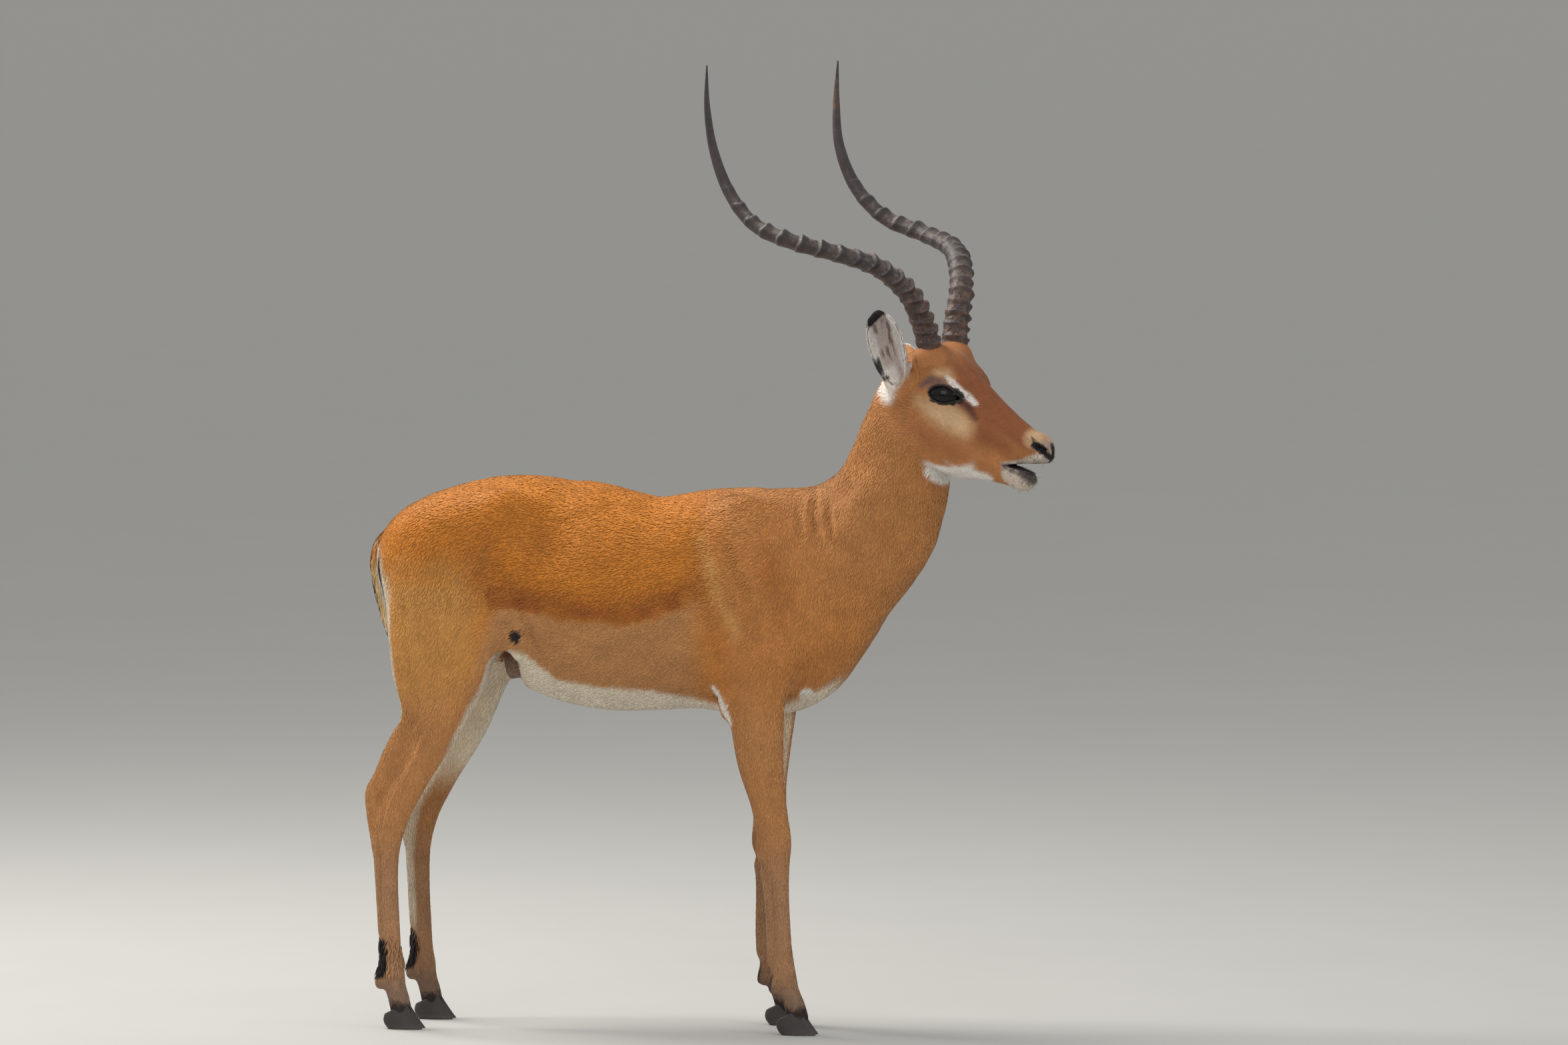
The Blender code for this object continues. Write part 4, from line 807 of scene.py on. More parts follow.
def faceColours(c):
    hx, hz, headPart = c.hx, c.hz, c.headPart
    c.lay("cheek", headPart)
    top = smooth(c.down, -0.05, -0.55) * smooth(hx, 0.02, 0.07)
    upper = smooth(hz + (hx - 0.10) * 0.55, -0.015, 0.02) * smooth(hx, 0.085, 0.12)
    bridge = 0.25 + 0.75 * smooth(hx + c.broad * 0.02, 0.078, 0.122)
    c.lay("face", headPart * bridge * np.clip(top + upper, 0, 1))
    for name, path, soft, apart, wander, strength in headStrokes:
        drawn = stroke(hx + c.ragged * wander, hz, path, soft)
        c.lay(name, headPart * drawn * (c.headOutward >= apart) * strength)
    brow = stroke(hx, hz, [(0.096, 0.0500, 0.0022), (0.107, 0.0400, 0.0042),
                           (0.119, 0.0250, 0.0045), (0.137, 0.0055, 0.0036)], 0.0022)
    c.lay("white", headPart * brow * (c.headOutward > 0.018) * (1 - 0.6 * smooth(c.speck, 0.62, 0.72)))
    for side in (right, left):             # black rims of the eyes
        centre, along, up = eyeFrame(side)[:3]
        ahead, above = (c.points - centre) @ along, (c.points - centre) @ up
        rim = 0.68 + 0.15 * smooth(ahead, 0.010, 0.030) - 0.05 * smooth(above, 0.004, 0.014)
        c.lay("black", smooth(eyeShare(c.points, side) - rim - c.ragged * 0.14, 0.05, -0.03) * 0.97)
    under = smooth(c.down, 0.30, 0.6) * between(hx, 0.035, 0.05, 0.150, 0.165) * smooth(hz, -0.075, -0.088)
    band = stroke(hx, hz, [(0.056, -0.0950, 0.0085), (0.088, -0.1000, 0.0090),
                           (0.133, -0.1045, 0.0070), (0.158, -0.1120, 0.0030)], 0.0035)
    throat = stroke(hx, hz, [(0.052, -0.100, 0.010), (0.074, -0.118, 0.017), (0.086, -0.136, 0.009)], 0.004)
    c.lay("white", np.maximum(np.maximum(under, band) * headPart, throat * (hx > 0.02)))


def mouthColours(c):
    hx, hz = c.hx, c.hz
    forward, middles, halves = zip(*mouthLine)
    middle, half = np.interp(hx, forward, middles), np.interp(hx, forward, halves)
    below = smooth(hz - middle, 0.001, -0.001)
    chinEdge = np.interp(hz, [-0.127, -0.1095, -0.0924], [0.188, 0.1765, 0.178])
    chin = smooth(hx - chinEdge + c.ragged * 0.004, -0.002, 0.003) * below * c.headPart
    c.lay("muzzle", chin)
    pastDark = middle - half - hz - 0.0020 - 0.009 * smooth(hx, 0.196, 0.226) - c.ragged * 0.007
    c.lay("black", chin * smooth(pastDark, 0.008, -0.004) * 0.88)
    c.lay("black", chin * smooth(c.speck, 0.54 - 0.06 * smooth(hx, 0.18, 0.22), 0.68)
          * smooth(pastDark, 0.018, 0.004) * 0.60)
    lipTop = np.interp(hx, [0.176, 0.215, 0.235, 0.262], [0.0035, 0.0095, 0.0160, 0.0230])
    above = hz - middle - half
    lip = (1 - below) * smooth(above - lipTop, 0.003, -0.003) * smooth(hx, 0.172, 0.180) * c.headPart
    c.lay("muzzle", lip)
    c.lay("black", lip * smooth(hx, 0.21, 0.25) * smooth(above, 0.010, 0.002) * 0.7)
    c.lay("black", lip * smooth(c.speck, 0.56, 0.68) * 0.65)
    c.lay("black", lip * smooth(above, 0.0026, 0.0006) * 0.85)
    c.inMouth = smooth(np.abs(hz - middle) - half, 0.0012, -0.0008) * smooth(hx, 0.174, 0.182) * c.headPart


def noseColours(c):
    hx, hz, headPart, beside = c.hx, c.hz, c.headPart, c.headOutward
    muzzleX = hx - 0.577 * (beside - 0.020)
    pale = np.hypot((muzzleX - 0.2350) / 0.022, (hz + 0.050) / 0.017)
    c.lay("underEye", headPart * smooth(pale, 1.1, 0.5) * 0.75)
    c.lay("underEye", headPart * smooth(hx, 0.222, 0.240) * smooth(c.down, -0.2, -0.6) * 0.6)
    nose = stroke(muzzleX, hz, [(0.2320, -0.0480, 0.0012), (0.2375, -0.0560, 0.0036),
                                (0.2465, -0.0640, 0.0058), (0.2560, -0.0715, 0.0060),
                                (0.2640, -0.0790, 0.0050)], 0.0010)
    c.lay("black", headPart * nose * (beside > 0.003))
    for side in (right, left):
        middle, lie = nostrilPlace(side)
        gap = c.points - headPoint(*middle)
        ahead = gap @ headDirection(*lie)
        aside = np.sqrt(np.maximum((gap ** 2).sum(1) - ahead ** 2, 0))
        c.lay("black", headPart * smooth(np.hypot(ahead / 0.0160, aside / 0.0075), 1.06, 0.92))
    front = smooth(hx, 0.2385, 0.2450) * smooth(hz, -0.050, -0.058) * (hz > -0.088)
    c.lay("lipGrey", headPart * front * (1 - nose) * (beside < 0.019) * 0.85)
    pad = smooth(hx, 0.2440, 0.2480) * smooth(beside, 0.0048, 0.0028)
    c.lay("black", headPart * pad * between(hz, -0.092, -0.088, -0.060, -0.055))
    c.lay("mouth", c.inMouth)


def earColours(c):
    hx, hz, beside = c.hx, c.hz, c.headOutward > 0.03
    for side in (right, left):
        share, rearward, outward = earPlaces(c.points, side)
        facing = c.normals @ earFrame(side)["out"]
        part, breadth = earShare(c.points, side), np.abs(rearward)
        c.lay("cheek", part)
        inside = part * smooth(facing, -0.05, 0.35)
        c.lay("earSkin", inside)
        c.lay("white", inside * np.clip(smooth(breadth, 0.010, 0.020) + 0.35, 0, 1) * 0.75)
        streak = noise(np.stack([share * 0.020, rearward, outward * 0.3], axis=1), 0.0030)
        c.lay("lid", inside * smooth(streak, 0.48, 0.66) * between(share, 0.30, 0.42, 0.80, 0.92)
              * smooth(breadth, 0.019, 0.011) * 0.85)
        c.lay("tear", inside * smooth(streak, 0.66, 0.80) * between(share, 0.42, 0.52, 0.74, 0.84)
              * smooth(np.abs(rearward - 0.002), 0.012, 0.004) * 0.6)
        c.lay("white", part * smooth(share, 0.34, 0.20) * smooth(facing, -0.3, 0.2)
              * smooth(rearward, -0.012, -0.002))
        c.lay("white", part * smooth(np.abs(facing - 0.15), 0.50, 0.25) * smooth(share, 0.15, 0.30) * 0.85)
        c.lay("black", part * smooth(share + rearward * 4.0 + c.ragged * 0.05, 0.86, 0.91))
        c.lay("black", part * smooth(rearward, 0.014, 0.018)
              * between(share, 0.16, 0.22, 0.38, 0.46) * 0.95)
    for crease in headCreases[:2]:         # painted shade along the folds before the ear
        gap = pathDistance(hx, hz, crease[0])[0]
        c.lay("tear", c.headPart * bell(gap, 0, 0.0011) * beside * 0.75)
    outerFace = smooth((c.normals @ headLeftward) * np.sign(c.hy), -0.1, 0.3)
    base = stroke(hx, hz, [(-0.036, 0.056, 0.008), (-0.025, 0.036, 0.015), (-0.007, 0.024, 0.018),
                           (0.008, 0.042, 0.011)], 0.007)
    c.lay("white", base * outerFace * beside * 0.92)
    c.lay("black", smooth(np.hypot(hx + 0.003, hz - 0.045), 0.0048, 0.0028) * (c.hy < -0.03) * outerFace)


def coatColours(points, normals):
    c = Coat(points, normals)
    for region in (bodyColours, legColours, underColours, tailColours, faceColours, mouthColours,
                   noseColours, earColours):
        region(c)
    return np.clip(c.colour * (1 + c.broad[:, None] * 0.16 + c.ragged[:, None] * 0.10), 0, 1)


# which way the coat lies, and the size of its locks
def coatLie(points, normals):
    away = points - place
    x, y, z = away.T
    hy, hz = headPlaces(points)[:, 1:].T
    headPart, neckPart = headShare(points), neckShare(points)
    one = np.ones(len(points))
    trunkLie = np.stack([-one, 0 * one, -0.10 - 0.75 * smooth(0.80 - z, 0, 0.30)], axis=1)
    rumpLie = np.stack([-0.55 * one, 0 * one, -one], axis=1)
    legLie = np.stack([-0.12 * one, 0 * one, -one], axis=1)
    neckLie = np.stack([-0.45 * one, 0 * one, -one], axis=1)
    faceLie = -headForward * one[:, None] + headUpward * (0.30 - 1.4 * smooth(-hz, 0.02, 0.09))[:, None]
    faceLie = faceLie + headLeftward * (0.25 * np.sign(hy))[:, None]
    lie = trunkLie

    def turn(toward, amount):
        nonlocal lie
        lie = lie + (toward - lie) * np.clip(amount, 0, 1)[:, None]
    turn(rumpLie, smooth(-x, 0.10, 0.24) * smooth(z, 0.86, 0.74))
    turn(neckLie, smooth(x, 0.20, 0.34))
    turn(legLie, smooth(z, 0.56, 0.44))
    turn(neckLie, neckPart)
    turn(faceLie, headPart)
    turn(legLie, smooth(-x, 0.342, 0.350) * (np.abs(y) < 0.03) * (z > 0.5))
    for earSide in (right, left):
        turn(np.tile(earFrame(earSide)["axis"], (len(points), 1)), earShare(points, earSide))
    swirl = noise(points + 3.1, 0.035) - 0.5
    lie = lie + np.cross(normals, lie) * (swirl * 0.45)[:, None]
    lie = lie - normals * (lie * normals).sum(1)[:, None]
    return lie / (np.linalg.norm(lie, axis=1, keepdims=True) + 1e-9)


locks = {             # length and width of a lock, metres, and how far its tip lifts
    "body": (0.0105, 0.0014, 0.0010),
    "saddle": (0.0120, 0.0018, 0.0018),
    "leg": (0.0080, 0.0012, 0.0007),
    "foot": (0.0060, 0.0011, 0.0006),
    "face": (0.0052, 0.0009, 0.0005),
    "lip": (0.0030, 0.0007, 0.0003),
    "ear": (0.0070, 0.0009, 0.0008),
    "fringe": (0.0110, 0.0007, 0.0034),
    "tail": (0.0200, 0.0022, 0.0025),
    "tuft": (0.0200, 0.0018, 0.0042),
}


def lockSizes(points, normals):
    x, y, z = (points - place).T
    hx, hz = headPlaces(points)[:, [0, 2]].T
    headPart = headShare(points)
    size = np.tile(np.array(locks["body"]), (len(points), 1))

    def lay(name, amount):
        layOver(size, locks[name], amount)
    lay("saddle", smooth(z, 0.66, 0.70) * between(x, -0.32, -0.25, 0.20, 0.32))
    lay("leg", smooth(z, 0.54, 0.42))
    lay("foot", smooth(z, 0.20, 0.10))
    lay("face", headPart * smooth(hx, -0.01, 0.06))
    lay("body", headPart * smooth(hx, 0.04, -0.02) * 0.6)
    lay("tail", smooth(-x, 0.343, 0.350) * (np.abs(y) < 0.03) * (z > 0.5))
    lay("lip", headPart * smooth(hx, 0.160, 0.170) * smooth(np.abs(hz + 0.0955), 0.020, 0.012))
    lay("tuft", smooth(-x, 0.325, 0.335) * (np.abs(y) < 0.03) * (z > 0.5) * smooth(z, 0.65, 0.62))
    for shift in (0.0, stance["leftHindShift"]):
        gap = np.hypot((x + 0.3450 - shift) / 0.017, (z - 0.120) / 0.030)
        lay("tuft", smooth(gap, 1.05, 0.85) * (x < -0.25))
    for earSide in (right, left):
        facing = normals @ earFrame(earSide)["out"]
        share = earPlaces(points, earSide)[0]
        part = earShare(points, earSide)
        lay("ear", part)
        lay("fringe", part * smooth(np.abs(facing - 0.15), 0.45, 0.20)
            * between(share, 0.15, 0.30, 0.86, 0.95))
    return size


def coatDepth(points, normals):   # how far the skin lies under the coat's outer shape
    size = lockSizes(points, normals)
    return np.minimum(size[:, 2], 0.0025) * 1.05 + 0.0003


# laying the skin inside the outer shape
shapeNormals = normalsOf(surface, quads)
skin = surface - shapeNormals * coatDepth(surface, shapeNormals)[:, None]

creases = [   # path across and up from the middle of the back, depth, width, which side
    ([(0.352, 0.862), (0.356, 0.825), (0.364, 0.785)], 0.0042, 0.0060, "right"),
    ([(0.377, 0.846), (0.381, 0.815), (0.390, 0.782)], 0.0034, 0.0055, "right"),
    ([(0.330, 0.850), (0.334, 0.815), (0.340, 0.775)], 0.0024, 0.0060, "right"),
    ([(0.360, 0.855), (0.372, 0.800)], 0.0016, 0.0070, "left"),
    ([(0.170, 0.800), (0.180, 0.730), (0.196, 0.660), (0.205, 0.585)], 0.0038, 0.0150, "both"),
    ([(0.330, 0.800), (0.305, 0.735), (0.290, 0.690), (0.315, 0.620)], 0.0030, 0.0110, "both"),
    ([(0.215, 0.800), (0.240, 0.740), (0.262, 0.690)], 0.0030, 0.0090, "both"),
    ([(-0.300, 0.735), (-0.302, 0.650), (-0.288, 0.560), (-0.276, 0.500)], 0.0028, 0.0100, "both"),
    ([(-0.150, 0.720), (-0.175, 0.640), (-0.195, 0.570)], 0.0026, 0.0120, "both"),
    ([(-0.118, 0.700), (-0.105, 0.655), (-0.085, 0.610)], 0.0030, 0.0090, "both"),
    ([(-0.070, 0.830), (-0.020, 0.800)], 0.0022, 0.0150, "both"),
    ([(0.250, 0.470), (0.262, 0.430), (0.272, 0.385)], 0.0018, 0.0060, "foreleg"),
    ([(0.2915, 0.262), (0.2940, 0.200), (0.2960, 0.130)], 0.0020, 0.0028, "foreleg"),
    ([(-0.3420, 0.300), (-0.3415, 0.220), (-0.3380, 0.130)], 0.0022, 0.0030, "hindleg"),
    ([(-0.262, 0.500), (-0.290, 0.440), (-0.318, 0.395)], 0.0030, 0.0055, "hindleg"),
    ([(-0.318, 0.392), (-0.334, 0.350), (-0.340, 0.312)], 0.0018, 0.0032, "hindleg"),
]
headCreases = [      # path forward and up from the head's origin, depth, width, which side
    ([(0.0320, 0.0870), (0.0330, 0.0720), (0.0310, 0.0560)], 0.0030, 0.0018, "right"),
    ([(0.0430, 0.0840), (0.0455, 0.0620), (0.0450, 0.0370)], 0.0032, 0.0019, "right"),
    ([(0.0540, 0.0560), (0.0720, 0.0640), (0.0930, 0.0560)], 0.0014, 0.0040, "both"),
    ([(0.1180, 0.0110), (0.1330, -0.0080), (0.1460, -0.0270)], 0.0016, 0.0042, "both"),
    ([(0.0950, -0.0450), (0.1300, -0.0600), (0.1680, -0.0780)], 0.0014, 0.0060, "both"),
    ([(0.0450, -0.0300), (0.0700, -0.0750), (0.1000, -0.0950)], 0.0012, 0.0070, "both"),
    ([(0.1350, 0.0120), (0.1650, -0.0080), (0.1950, -0.0260)], 0.0009, 0.0050, "both"),
    ([(0.1700, -0.0840), (0.1730, -0.0900), (0.1700, -0.0980)], 0.0012, 0.0022, "both"),
]


def creased(points, normals):
    x, y, z = (points - place).T
    hx, hy, hz = headPlaces(points).T
    side = np.where(y < 0, -1.0, 1.0)
    outer = np.clip(normals[:, 1] * side * 1.6, 0, 1)
    body = 1 - headShare(points)
    shift = np.zeros(len(points))
    footShare = smooth(z, 0.60, 0.25)
    for path, depth, width, where in creases:
        across = x.copy()
        if where == "foreleg":
            across = across - (side > 0) * stance["leftForeShift"] * np.clip(1.35 * footShare, 0, 1)
        if where == "hindleg":
            across = across - (side > 0) * stance["leftHindShift"] * np.clip(1.35 * footShare, 0, 1)
        gap, along = pathDistance(across, z, path)
        ends = between(along, 0, 0.5, len(path) - 1.5, len(path) - 1)
        fold = -bell(gap, 0, width) + 0.55 * bell(gap, 1.9 * width, 0.9 * width)
        here = outer * body * (0.25 + 0.75 * ends)
        if where in ("right", "left"):
            here = here * (side < 0 if where == "right" else side > 0)
        shift += fold * depth * here
    outerHead = np.clip((normals @ headLeftward) * np.sign(hy) * 1.6, 0, 1)
    for path, depth, width, where in headCreases:
        gap, along = pathDistance(hx, hz, path)
        ends = between(along, 0, 0.4, len(path) - 1.4, len(path) - 1)
        fold = -bell(gap, 0, width) + 0.45 * bell(gap, 1.9 * width, 0.9 * width)
        here = outerHead * headShare(points) * (0.2 + 0.8 * ends)
        if where == "right":
            here = here * (hy < 0)
        shift += fold * depth * here
    rough = (noise(points, 0.030) - 0.5) * 0.0022 + (noise(points, 0.013) - 0.5) * 0.0012
    shift += rough * smooth(z, 0.55, 0.65) * body * (1 - bell(np.hypot(x + 0.36, y), 0, 0.06))
    return shift


shift = creased(surface, shapeNormals)
skin = skin + shapeNormals * np.clip(shift, -0.006, 0.0022)[:, None]

# eyes and lids
eyeShape = {
    "forward": 0.0870,       # from the head's origin
    "aside": 0.0445,
    "up": 0.0215,
    "radius": 0.0195,
    "wider": 1.32,           # breadth and height of the ball against its depth
    "higher": 1.12,
    "rearCorner": -0.0235,
    "frontCorner": 0.0290,
    "upperLid": 0.0128,
    "lowerLid": 0.0132,
    "ringRear": 0.037,       # reach of the lid skin round the eye
    "ringFront": 0.041,
    "ringHeight": 0.0235,
    "lidThickness": 0.0016,
    "socketDepth": 0.016,    # how far the skin sinks behind the eye
    "lidAround": 96,         # points round the lids, and rings of them
    "lidRings": 22,
    "opening": [  # rings that turn in over the ball: height above it and spread
        (-0.0012, 1.015), (0.0002, 1.0), (0.0011, 0.992)],
    "folds": [  # place from the opening to the rim, width, height above and below the eye
        (0.10, 0.09, 0.0013, 0.0013), (0.30, 0.07, -0.0016, 0.0),
        (0.42, 0.09, 0.0011, 0.0), (0.36, 0.08, 0.0, -0.0009)],
    "rimColour": (0.0182, 0.0143, 0.0143),
}


def eyeFrame(side):
    centre = headPoint(eyeShape["forward"], side * eyeShape["aside"], eyeShape["up"])
    along = headDirection(1, side * -0.27, -0.17)
    out = headDirection(0.27, side * 1.0, 0.06)
    out = unit(out - along * out.dot(along))
    up = np.cross(out, along)
    return centre, along, up * np.sign(up[2]), out


def eyeShare(points, side):      # 0 at the middle of the lids' patch, 1 at its rim
    centre, along, up, out = eyeFrame(side)
    away = points - centre
    s, t, h = away @ along, away @ up, away @ out
    reach = np.where(s > 0, eyeShape["ringFront"], eyeShape["ringRear"])
    ring = np.hypot(s / reach, t / eyeShape["ringHeight"])
    return np.where((h > -0.004) & (h < 0.045), ring, 9.0)


skinTriangles = np.vstack([quads[:, [0, 1, 2]], quads[:, [0, 2, 3]]])
outerTree = BVHTree.FromPolygons([tuple(p) for p in skin], [tuple(q) for q in quads.tolist()])
colourPoints = skin.copy()
for side in (right, left):
    sunk = smooth(eyeShare(skin, side), 0.90, 0.72)
    skin = skin - eyeFrame(side)[3] * (eyeShape["socketDepth"] * sunk)[:, None]
skinNormals = normalsOf(skin, quads)


def lidOpening(s):                # upper and lower edge of the eye's opening
    e = eyeShape
    t = np.clip((s - e["rearCorner"]) / (e["frontCorner"] - e["rearCorner"]), 0, 1)
    middle = 0.0006 - 0.0030 * smooth(t, 0.55, 1.0)
    upper = np.interp(t, [0, 0.06, 0.16, 0.30, 0.45, 0.60, 0.74, 0.85, 0.94, 1.0],
                      [0, 0.36, 0.70, 0.94, 1.0, 0.90, 0.62, 0.36, 0.16, 0])
    lower = np.interp(t, [0, 0.06, 0.16, 0.30, 0.46, 0.60, 0.74, 0.85, 0.94, 1.0],
                      [0, 0.34, 0.68, 0.92, 1.0, 0.93, 0.62, 0.30, 0.12, 0])
    return middle + upper * e["upperLid"], middle - lower * e["lowerLid"]


def lidPatch(side):
    centre, along, up, out = eyeFrame(side)
    e = eyeShape
    around, rings, opening = e["lidAround"], e["lidRings"], len(e["opening"])
    angles = np.linspace(0, 2 * math.pi, around, endpoint=False)
    span = (e["frontCorner"] - e["rearCorner"]) / 2
    middle = (e["frontCorner"] + e["rearCorner"]) / 2
    s = middle + span * np.cos(angles)
    high, low = lidOpening(s)
    inner = np.stack([s, np.where(np.sin(angles) >= 0, high, low)], axis=1)
    for attempt in range(2):
        inner = (np.roll(inner, 1, axis=0) + inner * 2 + np.roll(inner, -1, axis=0)) / 4
    reach = np.where(np.cos(angles) > 0, e["ringFront"], e["ringRear"])
    outer = np.stack([reach * np.cos(angles), e["ringHeight"] * np.sin(angles)], axis=1) * 0.99
    rows, depths = [], []
    for level in range(rings):
        k = max(0, level - opening) / (rings - 1 - opening)
        flat = inner + (outer - inner) * (k ** 1.15)
        fromMiddle = np.hypot(flat[:, 0] / e["wider"], flat[:, 1] / e["higher"])
        ballHeight = np.sqrt(np.maximum(e["radius"] ** 2 - fromMiddle ** 2, 0.0085 ** 2))
        skinHeight = np.empty(around)
        for i, (a, b) in enumerate(flat):
            origin = centre + along * a + up * b + out * 0.06
            hit = outerTree.ray_cast(Vector(origin), Vector(-out), 0.08)
            skinHeight[i] = 0.06 - hit[3] if hit[0] is not None else ballHeight[i]
        settle = smooth(k, 0.05, 0.62)
        height = ballHeight + e["lidThickness"] + (skinHeight - ballHeight - e["lidThickness"]) * settle
        upperSide = smooth(np.sin(angles), 0.0, 0.5)
        for at, spread, over, under in e["folds"]:
            height = height + bell(k, at, spread) * (under + (over - under) * upperSide)
        if level < opening:
            height = ballHeight + e["opening"][level][0]
            flat = inner * e["opening"][level][1]
        height = height - 0.0007 * smooth(k, 0.90, 1.0)
        rows.append(centre + flat[:, :1] * along + flat[:, 1:] * up + height[:, None] * out)
        depths.append(np.full(around, k if level >= opening else -0.02))
    points = np.vstack(rows)
    faces = ringFaces(rings, around)[:, [1, 2, 3, 0]]
    if (normalsOf(points, faces)[around * 8:] @ out).mean() < 0:
        faces = faces[:, ::-1]
    return points, faces, np.concatenate(depths), np.tile(angles, rings)


# meshes with their colours
def meshFrom(name, points, faces, material, colours=None, flatUv=None):
    mesh = bpy.data.meshes.new(name)
    faces = np.asarray(faces)
    count, corners = faces.shape
    mesh.vertices.add(len(points))
    mesh.vertices.foreach_set("co", np.asarray(points, np.float32).ravel())
    mesh.loops.add(count * corners)
    mesh.loops.foreach_set("vertex_index", faces.astype(np.int32).ravel())
    mesh.polygons.add(count)
    mesh.polygons.foreach_set("loop_start", np.arange(0, count * corners, corners, dtype=np.int32))
    mesh.update(calc_edges=True)
    mesh.polygons.foreach_set("use_smooth", np.ones(count, bool))
    if colours is not None:
        layer = mesh.color_attributes.new("coatColour", "FLOAT_COLOR", "POINT")
        full = np.ones((len(points), 4), np.float32)
        full[:, :3] = colours[:, :3]
        if colours.shape[1] > 3:
            full[:, 3] = colours[:, 3]
        layer.data.foreach_set("color", full.ravel())
    if flatUv is not None:
        mesh.uv_layers.new(name="OFBake").data.foreach_set("uv", flatUv.astype(np.float32).ravel())
    mesh.materials.append(material)
    piece = bpy.data.objects.new(name, mesh)
    bpy.context.scene.collection.objects.link(piece)
    return piece


def unwrapped(piece):
    piece.data.uv_layers.new(name="OFBake")
    bpy.context.view_layer.objects.active = piece
    for other in bpy.context.selected_objects:
        other.select_set(False)
    piece.select_set(True)
    bpy.ops.object.mode_set(mode="EDIT")
    bpy.ops.mesh.select_all(action="SELECT")
    bpy.ops.uv.smart_project(angle_limit=1.15, island_margin=0.004, scale_to_bounds=True)
    bpy.ops.object.mode_set(mode="OBJECT")


# materials
class Value:                       # a shader socket that can be added, multiplied and so on
    def __init__(self, tree, socket):
        self.tree, self.socket = tree, socket

    def math(self, operation, *terms):
        made = self.tree.nodes.new("ShaderNodeMath")
        made.operation = operation
        for number, term in enumerate(terms):
            if isinstance(term, Value):
                self.tree.links.new(term.socket, made.inputs[number])
            else:
                made.inputs[number].default_value = term
        return Value(self.tree, made.outputs[0])

    def __add__(self, other):
        return self.math("ADD", self, other)

    def __radd__(self, other):
        return self.math("ADD", other, self)

    def __sub__(self, other):
        return self.math("SUBTRACT", self, other)

    def __rsub__(self, other):
        return self.math("SUBTRACT", other, self)

    def __mul__(self, other):
        return self.math("MULTIPLY", self, other)

    def __rmul__(self, other):
        return self.math("MULTIPLY", other, self)

    def ramp(self, low, high):     # 0 below low, 1 above high
        made = self.tree.nodes.new("ShaderNodeMapRange")
        made.interpolation_type = "SMOOTHSTEP"
        self.tree.links.new(self.socket, made.inputs[0])
        made.inputs[1].default_value, made.inputs[2].default_value = low, high
        return Value(self.tree, made.outputs[0])


class Finish:                      # one material and its nodes
    def __init__(self, name, **constants):
        self.material = bpy.data.materials.new(name)
        self.material.use_nodes = True
        self.tree = self.material.node_tree
        self.shader = self.tree.nodes["Principled BSDF"]
        for socket, value in constants.items():
            self.shader.inputs[socket.replace("_", " ")].default_value = value

    def node(self, kind, settings=None, **sockets):
        made = self.tree.nodes.new("ShaderNode" + kind)
        for setting, value in (settings or {}).items():
            setattr(made, setting, value)
        for socket, value in sockets.items():
            self.feed(made.inputs[socket.replace("_", " ")], value)
        return made

    def feed(self, socket, value):
        if isinstance(value, Value):
            self.tree.links.new(value.socket, socket)
        elif isinstance(value, bpy.types.NodeSocket):
            self.tree.links.new(value, socket)
        else:
            socket.default_value = value

    def value(self, socket):
        return Value(self.tree, socket)

    def position(self, stretch=(1, 1, 1)):
        place = self.node("TexCoord").outputs["Object"]
        return self.node("Mapping", {}, Vector=place, Scale=stretch).outputs[0]

    def noise(self, scale, detail=3.0, stretch=(1, 1, 1)):
        made = self.node("TexNoise", {}, Vector=self.position(stretch), Scale=scale,
                         Detail=detail, Roughness=0.55)
        return self.value(made.outputs["Fac"])

    def mix(self, amount, first, second):
        made = self.node("Mix", {"data_type": "RGBA"})
        self.feed(made.inputs[0], amount)
        for socket, value in ((made.inputs[6], first), (made.inputs[7], second)):
            if isinstance(value, tuple):
                value = (*value, 1.0) if len(value) == 3 else value
            self.feed(socket, value)
        return made.outputs[2]

    def brighten(self, colour, amount):
        made = self.node("VectorMath", {"operation": "SCALE"})
        self.feed(made.inputs[0], colour)
        self.feed(made.inputs[3], amount)
        return made.outputs[0]

    def attribute(self, name):
        return self.node("Attribute", {"attribute_name": name})

    def bump(self, height, strength, distance):
        return self.node("Bump", {}, Height=height, Strength=strength, Distance=distance).outputs[0]

    def set(self, **sockets):
        for socket, value in sockets.items():
            self.feed(self.shader.inputs[socket.replace("_", " ")], value)
        return self.material


def skinFinish():
    f = Finish("skin", Sheen_Weight=0.05, Sheen_Roughness=0.45, Specular_IOR_Level=0.28)
    colour = f.attribute("coatColour").outputs["Color"]
    hairs = f.noise(260.0, 4.0, (0.35, 1.0, 0.6))
    patches = f.noise(42.0, 3.0)
    height = f.noise(420.0, 2.0, (0.30, 1.0, 0.5)) * 0.6 + f.noise(110.0, 2.0) * 0.4
    return f.set(Base_Color=f.brighten(colour, 0.76 + hairs * 0.34 + patches * 0.20),
                 Roughness=0.60 + hairs * 0.25, Normal=f.bump(height, 0.55, 0.0012))


def coatFinish():
    f = Finish("coat", Sheen_Weight=0.06, Sheen_Roughness=0.4, Specular_IOR_Level=0.28)
    colour = f.attribute("coatColour").outputs["Color"]
    patches = f.noise(38.0, 3.0)
    hairs = f.noise(700.0, 2.0)
    return f.set(Base_Color=f.brighten(colour, 0.78 + patches * 0.26 + hairs * 0.18),
                 Roughness=0.52 + hairs * 0.25, Normal=f.bump(hairs, 0.25, 0.0004))


